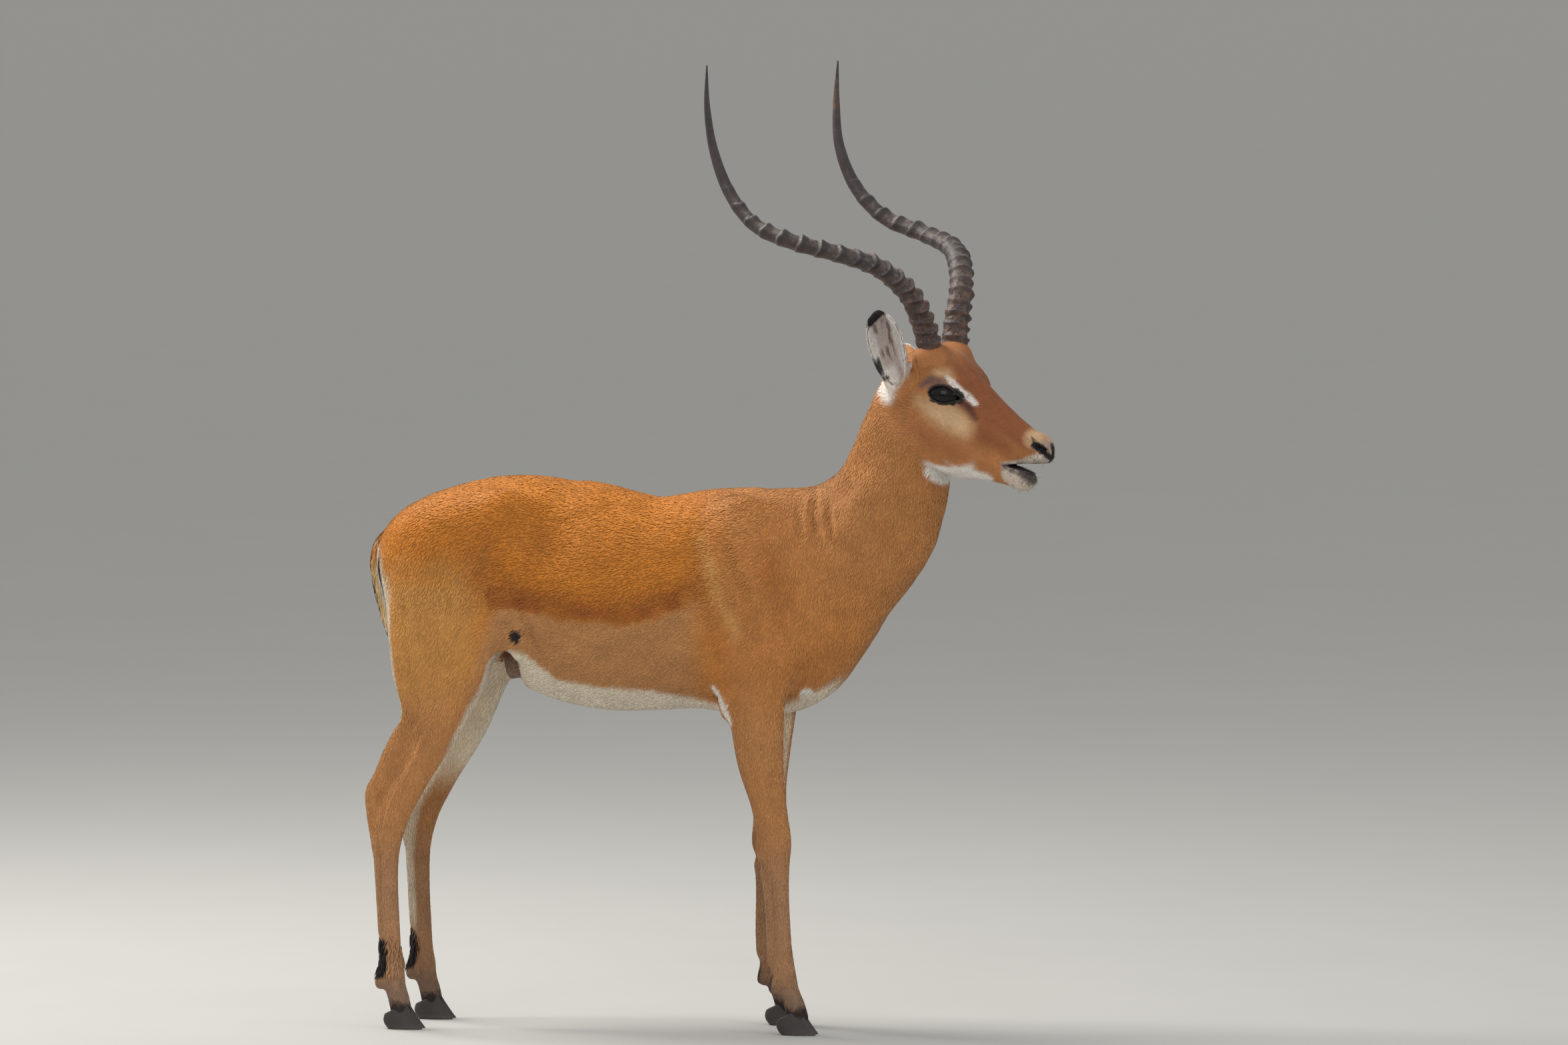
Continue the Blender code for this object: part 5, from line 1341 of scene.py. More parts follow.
def lidFinish():
    f = Finish("eyelid", Coat_Roughness=0.2)
    attribute = f.attribute("coatColour")
    wet = f.value(attribute.outputs["Alpha"])
    grain = f.noise(620.0, 3.0)
    height = grain * 0.5 + f.noise(230.0, 2.0, (1.0, 1.0, 2.2)) * 0.5
    return f.set(Base_Color=f.brighten(attribute.outputs["Color"], 0.75 + grain * 0.45),
                 Roughness=0.30 + wet * 0.42, Coat_Weight=(1.0 - wet) * 0.6,
                 Normal=f.bump(height, 0.35, 0.0008))


print("skin, lids and their colours")
fleshNodes = ["neck", "chest", "barrel", "rump", "tail", "head", "lower_jaw", "scrotum"]
for name in ("right_", "left_"):
    fleshNodes += [name + part for part in ("thigh", "forearm", "knee", "fore_cannon", "fore_pastern",
                                            "gaskin", "hock", "hind_cannon", "hind_pastern", "ear")]
skinMaterial, coatMaterial, lidMaterial = skinFinish(), coatFinish(), lidFinish()
skinColours = coatColours(colourPoints, skinNormals)
socket = smooth(np.minimum(eyeShare(colourPoints, right), eyeShare(colourPoints, left)), 0.90, 0.80)
layOver(skinColours, palette["black"], socket)
skinPiece = meshFrom("skin", skin, quads, skinMaterial, skinColours)
unwrapped(skinPiece)
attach(skinPiece, "root")
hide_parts(*fleshNodes)
skinUv = np.empty(len(quads) * 8, np.float32)
skinPiece.data.uv_layers["OFBake"].data.foreach_get("uv", skinUv)
skinUv = skinUv.reshape(-1, 4, 2)

lidMeshes = []
for side, name in ((right, "right"), (left, "left")):
    points, faces, depths, angles = lidPatch(side)
    lidMeshes.append((points, faces))
    normals = normalsOf(points, faces)
    colours = coatColours(points, normals)
    frontShare = smooth(np.cos(angles), 0.55, 0.95)
    dark = smooth(depths + (noise(points, 0.003) - 0.5) * 0.05,
                      0.34 + 0.26 * frontShare, 0.16 + 0.22 * frontShare)
    greyLid = smooth(depths, 0.80, 0.45) * smooth(np.sin(angles), 0.1, 0.6) * 0.75
    greyLid = greyLid * smooth(np.cos(angles), 0.7, 0.25)
    layOver(colours, palette["lid"], greyLid)
    layOver(colours, eyeShape["rimColour"], dark)
    colours = np.hstack([colours, smooth(depths, -0.01, 0.05)[:, None]])
    lidPiece = meshFrom(name + "_eyelids", points, faces, lidMaterial, colours)
    unwrapped(lidPiece)
    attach(lidPiece, "root")


# eyeballs
eyeball = {
    "pupil": (0.0062, 0.0030),     # half breadth and half height, lying level
    "iris": 0.0120,
    "irisColour": (0.009, 0.007, 0.006),
    "ringColour": (0.004, 0.003, 0.003),
    "whiteColour": (0.006, 0.004, 0.004),
    "pupilColour": (0.002, 0.002, 0.003),
    "bulge": 0.0006,               # of the cornea
    "rings": 72,
    "around": 96,
}


def eyeballPiece(side, name, material):
    centre, along, up, out = eyeFrame(side)
    rows, columns = eyeball["rings"], eyeball["around"]
    tilt = np.linspace(0.0, math.pi, rows)
    turn = np.linspace(0, 2 * math.pi, columns, endpoint=False)
    reach = np.sin(tilt)[:, None]
    s = (reach * np.cos(turn)[None, :]).ravel() * eyeShape["radius"] * eyeShape["wider"]
    t = (reach * np.sin(turn)[None, :]).ravel() * eyeShape["radius"] * eyeShape["higher"]
    h = (np.cos(tilt)[:, None] * np.ones(columns)[None, :]).ravel() * eyeShape["radius"]
    fromMiddle = np.hypot(s, t)
    h = h + eyeball["bulge"] * bell(fromMiddle, 0, eyeball["iris"]) * (h > 0)
    points = centre + s[:, None] * along + t[:, None] * up + h[:, None] * out
    faces = ringFaces(rows, columns)
    if (normalsOf(points, faces)[columns * 10:columns * 12] @ out).mean() < 0:
        faces = faces[:, ::-1]
    pupil = np.hypot(s / eyeball["pupil"][0], t / eyeball["pupil"][1])
    fibre = noise(np.stack([np.arctan2(t, s) * 0.02, fromMiddle * 0.2, s * 0], axis=1), 0.0012)
    colour = np.tile(np.array(eyeball["irisColour"]), (len(points), 1)) * (0.6 + 0.8 * fibre)[:, None]
    layOver(colour, eyeball["ringColour"], smooth(fromMiddle, eyeball["iris"] * 0.80, eyeball["iris"]))
    layOver(colour, eyeball["whiteColour"],
            smooth(fromMiddle, eyeball["iris"] * 1.08, eyeball["iris"] * 1.2))
    layOver(colour, eyeball["pupilColour"], smooth(pupil, 1.06, 0.88))
    piece = meshFrom(name + "_eyeball", points, faces, material, colour)
    unwrapped(piece)
    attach(piece, "root")
    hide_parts(name + "_eye")


def eyeFinish():
    f = Finish("eyeball", Coat_Weight=0.55, Coat_Roughness=0.03, Coat_IOR=1.34, Specular_IOR_Level=0.10)
    veins = f.noise(900.0, 3.0)
    colour = f.attribute("coatColour").outputs["Color"]
    return f.set(Base_Color=f.brighten(colour, 0.8 + veins * 0.4), Roughness=0.12 + veins * 0.10)


print("eyeballs")
eyeMaterial = eyeFinish()
for side, name in ((right, "right"), (left, "left")):
    eyeballPiece(side, name, eyeMaterial)

# horns
horn = {
    "line": [  # forward, sideways, up from the head's origin; thickness there
        (0.060, 0.036, 0.072, 0.0215), (0.057, 0.041, 0.096, 0.0220),
        (0.052, 0.054, 0.133, 0.0205), (0.043, 0.085, 0.183, 0.0190),
        (0.014, 0.130, 0.226, 0.0178), (-0.030, 0.180, 0.250, 0.0165),
        (-0.096, 0.211, 0.271, 0.0150), (-0.165, 0.208, 0.298, 0.0130),
        (-0.215, 0.201, 0.348, 0.0110), (-0.245, 0.200, 0.415, 0.0085),
        (-0.254, 0.206, 0.485, 0.0055), (-0.253, 0.209, 0.552, 0.0013)],
    "around": 56,
    "rings": 420,
    "ridgeHeight": 0.28,           # share of the horn's thickness
    "ridges": (0.022, 0.500),      # first and last, along the horn
    "darkColour": (0.042, 0.030, 0.030),
    "ridgeColour": (0.024, 0.018, 0.020),
    # pale valleys: dust and painted light
    "valleyDustAndLight": (0.150, 0.115, 0.095),
    "rootColour": (0.115, 0.050, 0.028),
    "mudColour": (0.170, 0.085, 0.045),
    # painted highlight on the ridge crests
    "crestHighlightColour": (0.330, 0.280, 0.250),
}


def ridgePlaces():
    spot, last = horn["ridges"]
    spots = []
    while spot < last:
        spots.append(spot)
        spot += np.interp(spot, [0, 0.12, 0.24, 0.36, 0.50], [0.0185, 0.0215, 0.028, 0.033, 0.036])
    return np.array(spots)


def hornPiece(side, name, material):
    rows = smoothRows(horn["line"], 24)
    line = np.array([headPoint(x, side * y, z) for x, y, z, radius in rows])
    travelled = np.concatenate([[0], np.cumsum(np.linalg.norm(np.diff(line, axis=0), axis=1))])
    length = travelled[-1]
    ridges = ridgePlaces()
    at = np.linspace(0, 1, horn["rings"]) * length
    centre = np.stack([np.interp(at, travelled, line[:, i]) for i in range(3)], axis=1)
    ahead = np.stack([np.interp(at + 0.004, travelled, line[:, i]) for i in range(3)], axis=1)
    behind = np.stack([np.interp(at - 0.004, travelled, line[:, i]) for i in range(3)], axis=1)
    along = unit(ahead - behind + 1e-9)
    radius = np.interp(at, travelled, rows[:, 3])
    forward = headDirection(1, side * 0.45, 0.1)
    front = unit(forward - along * (along @ forward)[:, None])
    sideways = np.cross(along, front)          # towards the animal's left
    turn = np.linspace(0, 2 * math.pi, horn["around"], endpoint=False)
    frontShare = 0.5 + 0.5 * np.cos(turn)
    middleShare = 0.5 - 0.5 * np.sin(turn) * side       # the side that faces the other horn
    strength = np.clip(0.16 + 0.72 * frontShare ** 1.1 + 0.34 * middleShare, 0, 1.05)
    slant = (np.cos(turn) * 0.35 + np.sin(turn) * side * -0.10) * 0.010
    spot = at[:, None] + slant[None, :] + 0.0012 * np.sin(turn * 3 + 1.7)[None, :]
    index = np.clip(np.searchsorted(ridges, spot) - 1, 0, len(ridges) - 2)
    share = (spot - ridges[index]) / (ridges[index + 1] - ridges[index])
    rise = smooth(np.minimum(share, 1), 0.25, 0.88) ** 1.3 * smooth(share, 1.0, 0.90)
    rise = np.where(share < 0, 0, rise)
    fade = between(spot, 0.012, 0.05, 0.40, 0.53)
    varied = 0.72 + 0.5 * noiseTable[index % 32, (index * 7) % 32, 3 if side > 0 else 9]
    height = rise * strength[None, :] * fade * varied
    places = (centre[:, None, :] + (front[:, None, :] * np.cos(turn)[None, :, None]
                                    + sideways[:, None, :] * np.sin(turn)[None, :, None] * 0.86)
              * radius[:, None, None])
    grain = noise(places.reshape(-1, 3), 0.0045).reshape(spot.shape) - 0.5
    fine = noise(places.reshape(-1, 3), 0.0022).reshape(spot.shape) - 0.5
    flutes = np.sin(turn * 13 + 4 * np.sin(turn * 2))[None, :] * 0.010
    rootRough = smooth(spot, 0.20, 0.06)
    bent = places.reshape(-1, 3) + fine.reshape(-1, 1) * 0.002
    cracks = 1 - np.abs(2 * noise(bent * [1, 1, 0.6] + 2.3, 0.0048).reshape(spot.shape) - 1) * 2
    cracks = np.clip(cracks, 0, 1)
    scale = (0.965 - 0.05 * fade + horn["ridgeHeight"] * height + flutes * smooth(spot, 0.65, 0.45)
             + grain * (0.022 + 0.04 * rootRough) + fine * (0.014 + 0.05 * rootRough)
             - cracks * (0.008 + 0.040 * rootRough))
    scale = np.where(at[:, None] > 0.6, 1 + (scale - 1) * 0.3, scale)
    points = centre[:, None, :] + (places - centre[:, None, :]) * scale[:, :, None]
    colour = np.tile(np.array(horn["darkColour"]), (*spot.shape, 1))

    def lay(name, amount):
        layOver(colour, horn[name], amount)
    # valleys between the ridges paler, partly dust and partly painted light, most on the side that faces
    # the other horn
    dustyLitValley = smooth(rise, 0.45, 0.05) * fade * strength[None, :]
    lay("valleyDustAndLight", dustyLitValley * (0.25 + 0.5 * middleShare[None, :]) * (0.6 + grain * 2.0))
    lay("ridgeColour", smooth(rise, 0.4, 0.8) * fade * 0.7)
    # painted highlight: a thin pale line along each ridge crest
    crestLight = between(share, 0.80, 0.88, 0.91, 0.96)
    lay("crestHighlightColour", crestLight * fade * np.clip(strength[None, :] * 1.3 - 0.25, 0, 1) * (0.45 + grain))
    lay("rootColour", rootRough * (0.60 + grain * 1.8))
    lay("ridgeColour", cracks * (0.25 + 0.55 * rootRough))
    if side == left:
        lay("mudColour", between(spot, 0.610, 0.622, 0.660, 0.675)
            * (1 - frontShare[None, :]) * (0.7 + grain * 2))
    blotches = np.clip(noise(places.reshape(-1, 3) + 5, 0.012).reshape(spot.shape), 0, 1)
    colour = colour * (0.72 + 0.5 * blotches + fine * 0.5)[..., None]
    count = horn["around"]
    flat = points.reshape(-1, 3)
    odd = np.arange(1, count - 2, 2)           # the foot of the horn is closed by a fan
    faces = np.vstack([ringFaces(horn["rings"], count)[:, [0, 3, 2, 1]],
                       np.stack([odd * 0, odd + 2, odd + 1, odd], axis=1)])
    piece = meshFrom(name + "_horn_sheath", flat, faces, material, np.clip(colour.reshape(-1, 3), 0, 1))
    unwrapped(piece)
    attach(piece, "root")
    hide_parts(name + "_horn")


def hornFinish():
    f = Finish("horn")
    colour = f.attribute("coatColour").outputs["Color"]
    grain = f.noise(330.0, 5.0)
    pits = f.noise(900.0, 3.0)
    return f.set(Base_Color=f.brighten(colour, 0.70 + grain * 0.65),
                 Roughness=0.30 + grain * 0.34, Normal=f.bump(grain * 0.6 + pits * 0.4, 0.7, 0.0016))


print("horns")
hornMaterial = hornFinish()
for side, name in ((right, "right"), (left, "left")):
    hornPiece(side, name, hornMaterial)


# hooves and tongue
hoof = {
    "length": 0.060,
    "halfWidth": 0.0094,
    "toe": 0.005,            # reach of the tip past the toe's own line
    "slope": 0.026,          # how far the front wall runs back on its way up
    "tuck": 0.0032,          # how far each top leans to the other claw
    "splay": 0.0030,         # how far each tip stands out
    "heelUnder": 0.007,      # how far the heel's sole lies in from its bulb
    "heelBulge": 0.003,
    "narrowing": 0.18,       # towards the top
    "growthLines": 0.012,
    "crown": 0.0050,         # height of the rounded coronet
    "between": 0.0105,       # middle of a claw from the middle of its foot
    "colour": (0.026, 0.021, 0.019),
    "paleColour": (0.110, 0.086, 0.070),
}


def hoofFinish():
    f = Finish("hoof")
    grain = f.noise(160.0, 4.0, (0.4, 0.4, 3.0))
    scuffs = f.noise(420.0, 4.0)
    low = f.value(f.node("SeparateXYZ", {}, Vector=f.position()).outputs["Z"])
    worn = (1.0 - low.ramp(0.001, 0.012)) * scuffs.ramp(0.35, 0.7)
    colour = f.mix(worn * 0.5 + grain * 0.10, hoof["colour"], hoof["paleColour"])
    return f.set(Base_Color=colour, Roughness=0.38 + scuffs * 0.30,
                 Normal=f.bump(grain, 0.35, 0.0008))


def hoofPiece(name, toe, y, offset, material):
    outline = np.array([(0.00, 0.22), (0.03, 0.52), (0.10, 0.80), (0.24, 0.97), (0.44, 1.00),
                        (0.64, 0.90), (0.81, 0.66), (0.93, 0.36), (1.00, 0.09)])
    outline = smoothRows(outline, 3)
    around = np.vstack([outline, (outline * [1, -1])[::-1]])
    rings = []
    steps = [(0.0, 0.06), (0.015, 0.015)] + [(share, 0.0) for share in np.linspace(0.05, 1.0, 15)]
    steps += [(1.0, 0.06), (1.0, 0.16), (1.0, 0.32), (1.0, 0.60)]      # the rounded coronet
    for share, inset in steps:
        heel = hoof["heelUnder"] * (1.0 - share) ** 2 - hoof["heelBulge"] * math.sin(math.pi * share)
        start = toe - hoof["length"] + 0.002 + heel
        end = toe + hoof["toe"] - hoof["slope"] * share ** 0.90
        narrow = 1.0 - hoof["narrowing"] * share ** 1.5
        narrow += hoof["growthLines"] * math.sin(share * 40) * (0.02 < share < 0.9)
        height = stance["coronetHeight"] * 1.06 * share * (0.62 + 0.38 * around[:, 0])
        height = height + (hoof["crown"] * math.sqrt(inset) if share == 1.0 else 0.0)
        ring = np.stack([start + (end - start) * (around[:, 0] * (1 - inset) + inset / 2),
                         y + offset * (hoof["splay"] * around[:, 0] - hoof["tuck"] * share)
                         + hoof["halfWidth"] * narrow * (1 - inset) * around[:, 1],
                         height], axis=1)
        rings.append(ring + place)
    count = len(around)
    points = np.vstack(rings)
    faces = [ringFaces(len(rings), count)[:, [3, 0, 1, 2]]]
    half = count // 2
    for base, flip in ((0, 1), ((len(rings) - 1) * count, -1)):
        a = base + np.arange(half - 1)
        b = base + count - 1 - np.arange(half - 1)
        cap = np.stack([a, a + 1, b - 1, b], axis=1)
        faces.append(cap[:, ::flip])
    faces = np.vstack(faces)
    if (normalsOf(points, faces)[half // 2 + count * 6] @ np.array([0, 1, 0])) < 0:
        faces = faces[:, ::-1]
    piece = meshFrom(name + "_claw", points, faces, material)
    unwrapped(piece)
    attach(piece, "root")
    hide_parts(name + "_hoof")


print("hooves")
hoofMaterial = hoofFinish()
for foot, side, toe, y in (("right_fore", right, 0.358, 0.0733), ("right_hind", right, -0.278, 0.080),
                           ("left_fore", left, 0.358 + stance["leftForeShift"], 0.0733),
                           ("left_hind", left, -0.278 + stance["leftHindShift"], 0.080)):
    for claw, offset in (("outer", side), ("inner", -side)):
        hoofPiece(foot + "_" + claw, toe, side * y + offset * hoof["between"], offset, hoofMaterial)


tongue = {
    "at": (0.201, 0, -0.0995),    # from the head's origin
    "halfLength": 0.026,
    "halfWidth": 0.0114,
    "halfHeight": 0.0044,
    "groove": 0.0014,
    "rings": 40,
    "around": 48,
    "colour": (0.012, 0.007, 0.010),
    "paleColour": (0.032, 0.018, 0.026),
}


def tongueFinish():
    f = Finish("tongue", Coat_Weight=0.45, Coat_Roughness=0.12)
    grain = f.noise(700.0, 3.0)
    patches = f.noise(120.0, 2.0)
    colour = f.mix(patches, tongue["colour"], tongue["paleColour"])
    return f.set(Base_Color=colour, Roughness=0.22 + grain * 0.2,
                 Normal=f.bump(grain, 0.4, 0.0006))


def tonguePiece(material):
    along, across = headDirection(1, 0, -0.28), headDirection(0, 1, 0)
    up = np.cross(along, across)
    centre = headPoint(*tongue["at"])
    rows, columns = tongue["rings"], tongue["around"]
    tilt, turn = np.linspace(0, math.pi, rows), np.linspace(0, 2 * math.pi, columns, endpoint=False)
    a = (np.cos(tilt)[:, None] * np.ones(columns)).ravel()
    b = (np.sin(tilt)[:, None] * np.cos(turn)).ravel()
    c = (np.sin(tilt)[:, None] * np.sin(turn)).ravel()
    groove = -tongue["groove"] * bell(b, 0, 0.16) * (c > 0) * (1 - np.abs(a))
    points = (centre + a[:, None] * tongue["halfLength"] * along + b[:, None] * tongue["halfWidth"] * across
              + (c * tongue["halfHeight"] + groove)[:, None] * up)
    faces = ringFaces(rows, columns)
    if (normalsOf(points, faces) * (points - centre)).sum() < 0:
        faces = faces[:, ::-1]
    piece = meshFrom("wet_tongue", points, faces, material)
    unwrapped(piece)
    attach(piece, "root")
    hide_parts("tongue")


print("tongue")
tonguePiece(tongueFinish())


# the coat: many small leaf-shaped locks, rooted in the skin
coat = {
    "cover": 1.80,            # how many locks lie over any one spot
    "quickCover": 0.35,
    "perPiece": 46000,
    "turn": 0.15,             # how far a lock strays from the lie, radians
    "thickness": 0.22,        # share of a lock's width
    "rootShade": 0.86,
    "tipShade": 1.06,
    "shade": 0.085,
    "filled": 0.55,           # share of its length and width that a lock fills
    "smallest": 0.000003,
    "lowest": 0.029,          # height of the lowest roots
}


def scatteredRoots():
    corners = skin[skinTriangles]
    slant = np.cross(corners[:, 1] - corners[:, 0], corners[:, 2] - corners[:, 0])
    areas = np.linalg.norm(slant, axis=1) / 2
    middles = corners.mean(axis=1)
    facing = skinNormals[skinTriangles].mean(axis=1)
    size = lockSizes(middles, facing)
    cover = coat["cover"]
    density = cover / np.maximum(size[:, 0] * size[:, 1] * coat["filled"], coat["smallest"])
    hx, hz = headPlaces(middles)[:, [0, 2]].T
    mouthMiddle = np.interp(hx, [0.172, 0.265], [-0.0905, -0.1050])
    density[(hx > 0.166) & (np.abs(hz - mouthMiddle) < 0.0022 + 0.16 * np.maximum(hx - 0.175, 0))
            & (headShare(middles) > 0.5)] = 0
    for side in (right, left):
        density[eyeShare(middles, side) < 0.60] = 0
    density[middles[:, 2] < coat["lowest"]] = 0
    wanted = np.cumsum(areas * density)
    count = int(wanted[-1])
    pick = np.searchsorted(wanted, (np.arange(count) + chance.random(count)) / count * wanted[-1])
    pick = np.minimum(pick, len(areas) - 1)
    first, second = chance.random(count), chance.random(count)
    over = first + second > 1
    first[over], second[over] = 1 - first[over], 1 - second[over]
    weights = np.stack([1 - first - second, first, second], axis=1)
    roots = (corners[pick] * weights[:, :, None]).sum(axis=1)
    normals = unit((skinNormals[skinTriangles[pick]] * weights[:, :, None]).sum(axis=1))
    kept = np.ones(count, bool)
    for side in (right, left):       # locks on the lids stand on the lids' own surface
        centre, alongEye, up, out = eyeFrame(side)
        ring = eyeShare(roots, side)
        for number in np.flatnonzero(ring < 0.97):
            away = roots[number] - centre
            a, b = away @ alongEye, away @ up
            if ring[number] < 0.70 + 0.16 * smooth(a / eyeShape["ringFront"], 0.45, 0.85):
                kept[number] = False
                continue
            start = centre + alongEye * a + up * b + out * 0.06
            hit = skinTree.ray_cast(Vector(start), Vector(-out), 0.09)
            if hit[0] is None:
                kept[number] = False
            else:
                roots[number], normals[number] = hit[0], hit[1]
    uvCorners = np.vstack([skinUv[:, [0, 1, 2]], skinUv[:, [0, 2, 3]]])
    uv = (uvCorners[pick] * weights[:, :, None]).sum(axis=1)
    return roots[kept], normals[kept], uv[kept]


def lockMeshes(roots, normals, uv, sizes, lie, colours, free=False):
    count = len(roots)
    swing = chance.normal(0, coat["turn"], count)[:, None]
    across = np.cross(normals, lie)
    along = lie * np.cos(swing) + across * np.sin(swing)
    across = np.cross(normals, along)
    length = (sizes[:, 0] * chance.uniform(0.70, 1.25, count))[:, None]
    width = (sizes[:, 1] * chance.uniform(0.75, 1.25, count))[:, None]
    lift = (sizes[:, 2] * chance.uniform(0.55, 1.10, count))[:, None]
    tips = roots + along * length
    tipNormals = normals.copy()
    for number in range(0 if free else count):
        hit = skinTree.find_nearest(tips[number])
        tips[number], tipNormals[number] = hit[0], hit[1]
    tips = tips + normals * lift
    middle = roots * 0.56 + tips * 0.44 + normals * lift * 0.42
    middle = middle + normals * width * coat["thickness"]
    points = np.stack([roots - normals * 0.0006, middle + across * width * 0.5,
                       middle - across * width * 0.5, tips], axis=1)
    soft = [normals - along * 0.10, normals + across * 0.42, normals - across * 0.42,
            tipNormals + along * 0.15]
    soft = unit(np.stack(soft, axis=1).reshape(-1, 3))
    shades = np.array([coat["rootShade"], 1.0, 1.0, coat["tipShade"]])
    tone = 1 + chance.normal(0, coat["shade"], count)
    tinted = np.clip(colours[:, None, :] * shades[None, :, None] * tone[:, None, None], 0, 1)
    pattern = np.array([(0, 2, 1), (3, 1, 2), (0, 1, 3), (0, 3, 2)])
    faces = pattern[None] + np.arange(count)[:, None, None] * 4
    corner = np.array([(0, -0.0015), (-0.0015, 0), (0.0015, 0), (0, 0.0015)])
    flatUv = np.clip(uv[:, None, :] + corner[None], 0, 1)[:, pattern.ravel()]
    return points.reshape(-1, 3), faces.reshape(-1, 3), tinted.reshape(-1, 3), flatUv.reshape(-1, 2), soft


print("growing the coat")
treePoints, treeFaces = [skin], [quads]
for points, faces in lidMeshes:
    treeFaces.append(faces + sum(len(part) for part in treePoints))
    treePoints.append(points)
skinTree = BVHTree.FromPolygons(np.vstack(treePoints).tolist(), np.vstack(treeFaces).tolist())
roots, rootNormals, rootUv = scatteredRoots()
rootSizes = lockSizes(roots, rootNormals)
rootLie = coatLie(roots, rootNormals)
rootColours = coatColours(roots, rootNormals)
print(len(roots), "locks")
rootAway = roots - place
onHead = headShare(roots) > 0.5
regionNames = {"head": "face_coat", "neck": "saddle_coat", "back": "saddle_coat",
               "side": "flank_coat", "legs": "leg_coat"}
region = np.full(len(roots), "side", dtype="U8")
region[rootAway[:, 2] > 0.69] = "back"
region[neckShare(roots) > 0.5] = "neck"
region[rootAway[:, 2] < 0.50] = "legs"
region[onHead] = "head"
for name, slot in regionNames.items():
    chosen = np.flatnonzero(region == name)
    order = chance.permutation(len(chosen))
    parts = max(1, math.ceil(len(chosen) / coat["perPiece"]))
    for number, part in enumerate(np.array_split(chosen[order], parts)):
        points, faces, colours, flatUv, soft = lockMeshes(roots[part], rootNormals[part], rootUv[part],
                                                          rootSizes[part], rootLie[part], rootColours[part])
        piece = meshFrom("coat_%s_%d" % (name, number + 1), points, faces, coatMaterial, colours, flatUv)
        piece.data.normals_split_custom_set_from_vertices(soft)
        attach(piece, "root")
        print(piece.name, len(faces), "triangles")


bristles = {              # number, length and width, metres
    "lashes": (44, 0.0085, 0.00050),
    "chin": (16, 0.0090, 0.00032),
    "lip": (14, 0.0090, 0.00030),
}
print("lashes and whiskers")
hairRoots, hairWays, hairSizes = [], [], []
for side, (points, faces) in zip((right, left), lidMeshes):
    alongEye, up, out = eyeFrame(side)[1:]
    number, length, width = bristles["lashes"]
    turns = chance.uniform(0.35, 2.75, number)
    around = eyeShape["lidAround"]
    spots = points[around * len(eyeShape["opening"]) + (turns / (2 * math.pi) * around).astype(int)]
    hairRoots.append(spots)
    hairWays.append(out * 0.85 + up * 0.10 + alongEye * (0.35 * np.cos(turns))[:, None]
                    + chance.normal(0, 0.10, (number, 3)))
    hairSizes.append(np.tile([length, width, 0.0], (number, 1)))
hxRoots, hyRoots, hzRoots = headPlaces(roots).T
onChin = (hxRoots > 0.185) & (hzRoots < -0.112) & onHead
onLip = (hxRoots > 0.195) & (hzRoots > -0.092) & (hzRoots < -0.076) & (np.abs(hyRoots) > 0.008) & onHead
for name, mask in (("chin", onChin), ("lip", onLip)):
    number, length, width = bristles[name]
    chosen = chance.choice(np.flatnonzero(mask), number)
    hairRoots.append(roots[chosen])
    hairWays.append(rootNormals[chosen] * 0.9 + headForward * 0.15 - headUpward * 0.45
                    + chance.normal(0, 0.12, (number, 3)))
    hairSizes.append(np.tile([length, width, 0.0], (number, 1)))
hairRoots, hairWays, hairSizes = np.vstack(hairRoots), unit(np.vstack(hairWays)), np.vstack(hairSizes)
hairUv = np.array([rootUv[np.argmin(((roots - spot) ** 2).sum(axis=1))] for spot in hairRoots])
hairSides = unit(np.cross(hairWays, np.array([0.2, 0.3, 1.0])))
hairColours = np.tile(np.array(palette["black"]), (len(hairRoots), 1))
points, faces, colours, flatUv, soft = lockMeshes(hairRoots, hairSides, hairUv, hairSizes, hairWays,
                                                  hairColours, free=True)
hairs = meshFrom("coat_lashes", points, faces, coatMaterial, colours, flatUv)
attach(hairs, "root")


# floor, light and camera
studio = {
    "floorColour": (0.46, 0.46, 0.45),
    "floorReach": 220.0,
    "lights": [  # name, place, aim, size, power and colour
        ("key", (-2.6, 0.6, 4.2), (0, 0, 0.7), 2.2, 230.0, (1.0, 0.96, 0.90)),
        ("front", (-0.6, -6.0, 3.6), (0, 0, 0.75), 4.0, 75.0, (1, 1, 1)),
        ("side", (4.8, -2.0, 2.6), (0, 0, 0.8), 2.6, 50.0, (0.95, 0.98, 1.0)),
    ],
    "worldColour": (0.94, 0.93, 0.90),
    "worldStrength": 0.60,
}


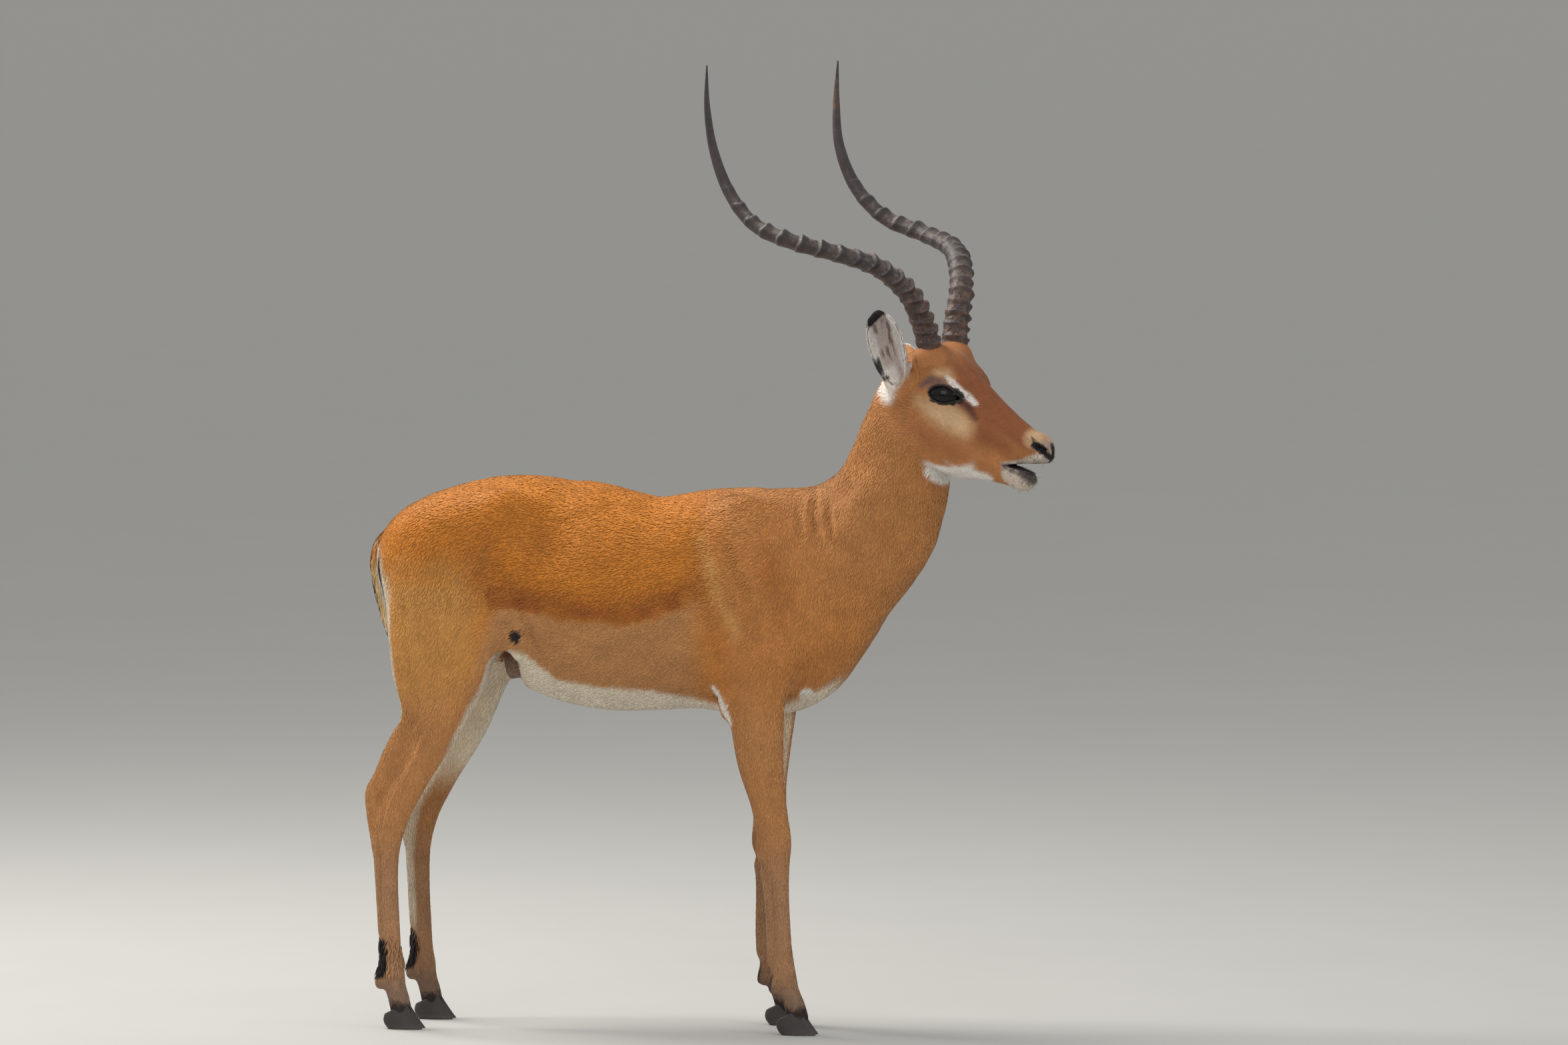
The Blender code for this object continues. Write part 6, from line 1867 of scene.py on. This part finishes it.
def floorFinish():
    f = Finish("floor")
    grain = f.noise(3.0, 4.0)
    return f.set(Base_Color=f.brighten(studio["floorColour"], 0.97 + grain * 0.06),
                 Roughness=0.75 + grain * 0.1)


print("floor, light and camera")
reach = studio["floorReach"]
floorPoints = np.array([(-reach, -reach, 0), (reach, -reach, 0), (reach, reach, 0), (-reach, reach, 0)])
floorFaces = np.array([(0, 1, 2, 3)])
floor = meshFrom("floor", floorPoints, floorFaces, floorFinish())

for name, at, towards, size, power, colour in studio["lights"]:
    light = bpy.data.lights.new(name, "AREA")
    light.shape, light.size, light.size_y = "RECTANGLE", size, size * 0.8
    light.energy, light.color = power, colour
    made = bpy.data.objects.new(name, light)
    bpy.context.scene.collection.objects.link(made)
    made.location = at
    made.rotation_euler = (Vector(towards) - Vector(at)).to_track_quat("-Z", "Y").to_euler()

world = bpy.data.worlds.new("studio")
world.use_nodes = True
world.node_tree.nodes["Background"].inputs[0].default_value = (*studio["worldColour"], 1.0)
world.node_tree.nodes["Background"].inputs[1].default_value = studio["worldStrength"]
bpy.context.scene.world = world
bpy.context.scene.view_settings.view_transform = "Standard"

view = {
    "turn": math.radians(9.0),
    "rise": math.radians(3.5),
    "distance": 18.0,
    "lens": 259.0,
    "aimAcross": 0.2936,     # aim, from the middle of the back
    "aimHeight": 0.8128,
    "sensor": 36.0,
    "clipEnd": 600.0,
}
lookAt = place * [1, 1, 0] + np.array([view["aimAcross"] / math.cos(view["turn"]), 0.0, view["aimHeight"]])
ray = np.array([-math.sin(view["turn"]) * math.cos(view["rise"]),
                math.cos(view["turn"]) * math.cos(view["rise"]), -math.sin(view["rise"])])
camera = bpy.data.objects.new("camera", bpy.data.cameras.new("camera"))
bpy.context.scene.collection.objects.link(camera)
camera.data.lens, camera.data.sensor_width = view["lens"], view["sensor"]
camera.data.clip_end = view["clipEnd"]
camera.location = lookAt - ray * view["distance"]
camera.rotation_euler = Vector(ray).to_track_quat("-Z", "Y").to_euler()
bpy.context.scene.camera = camera
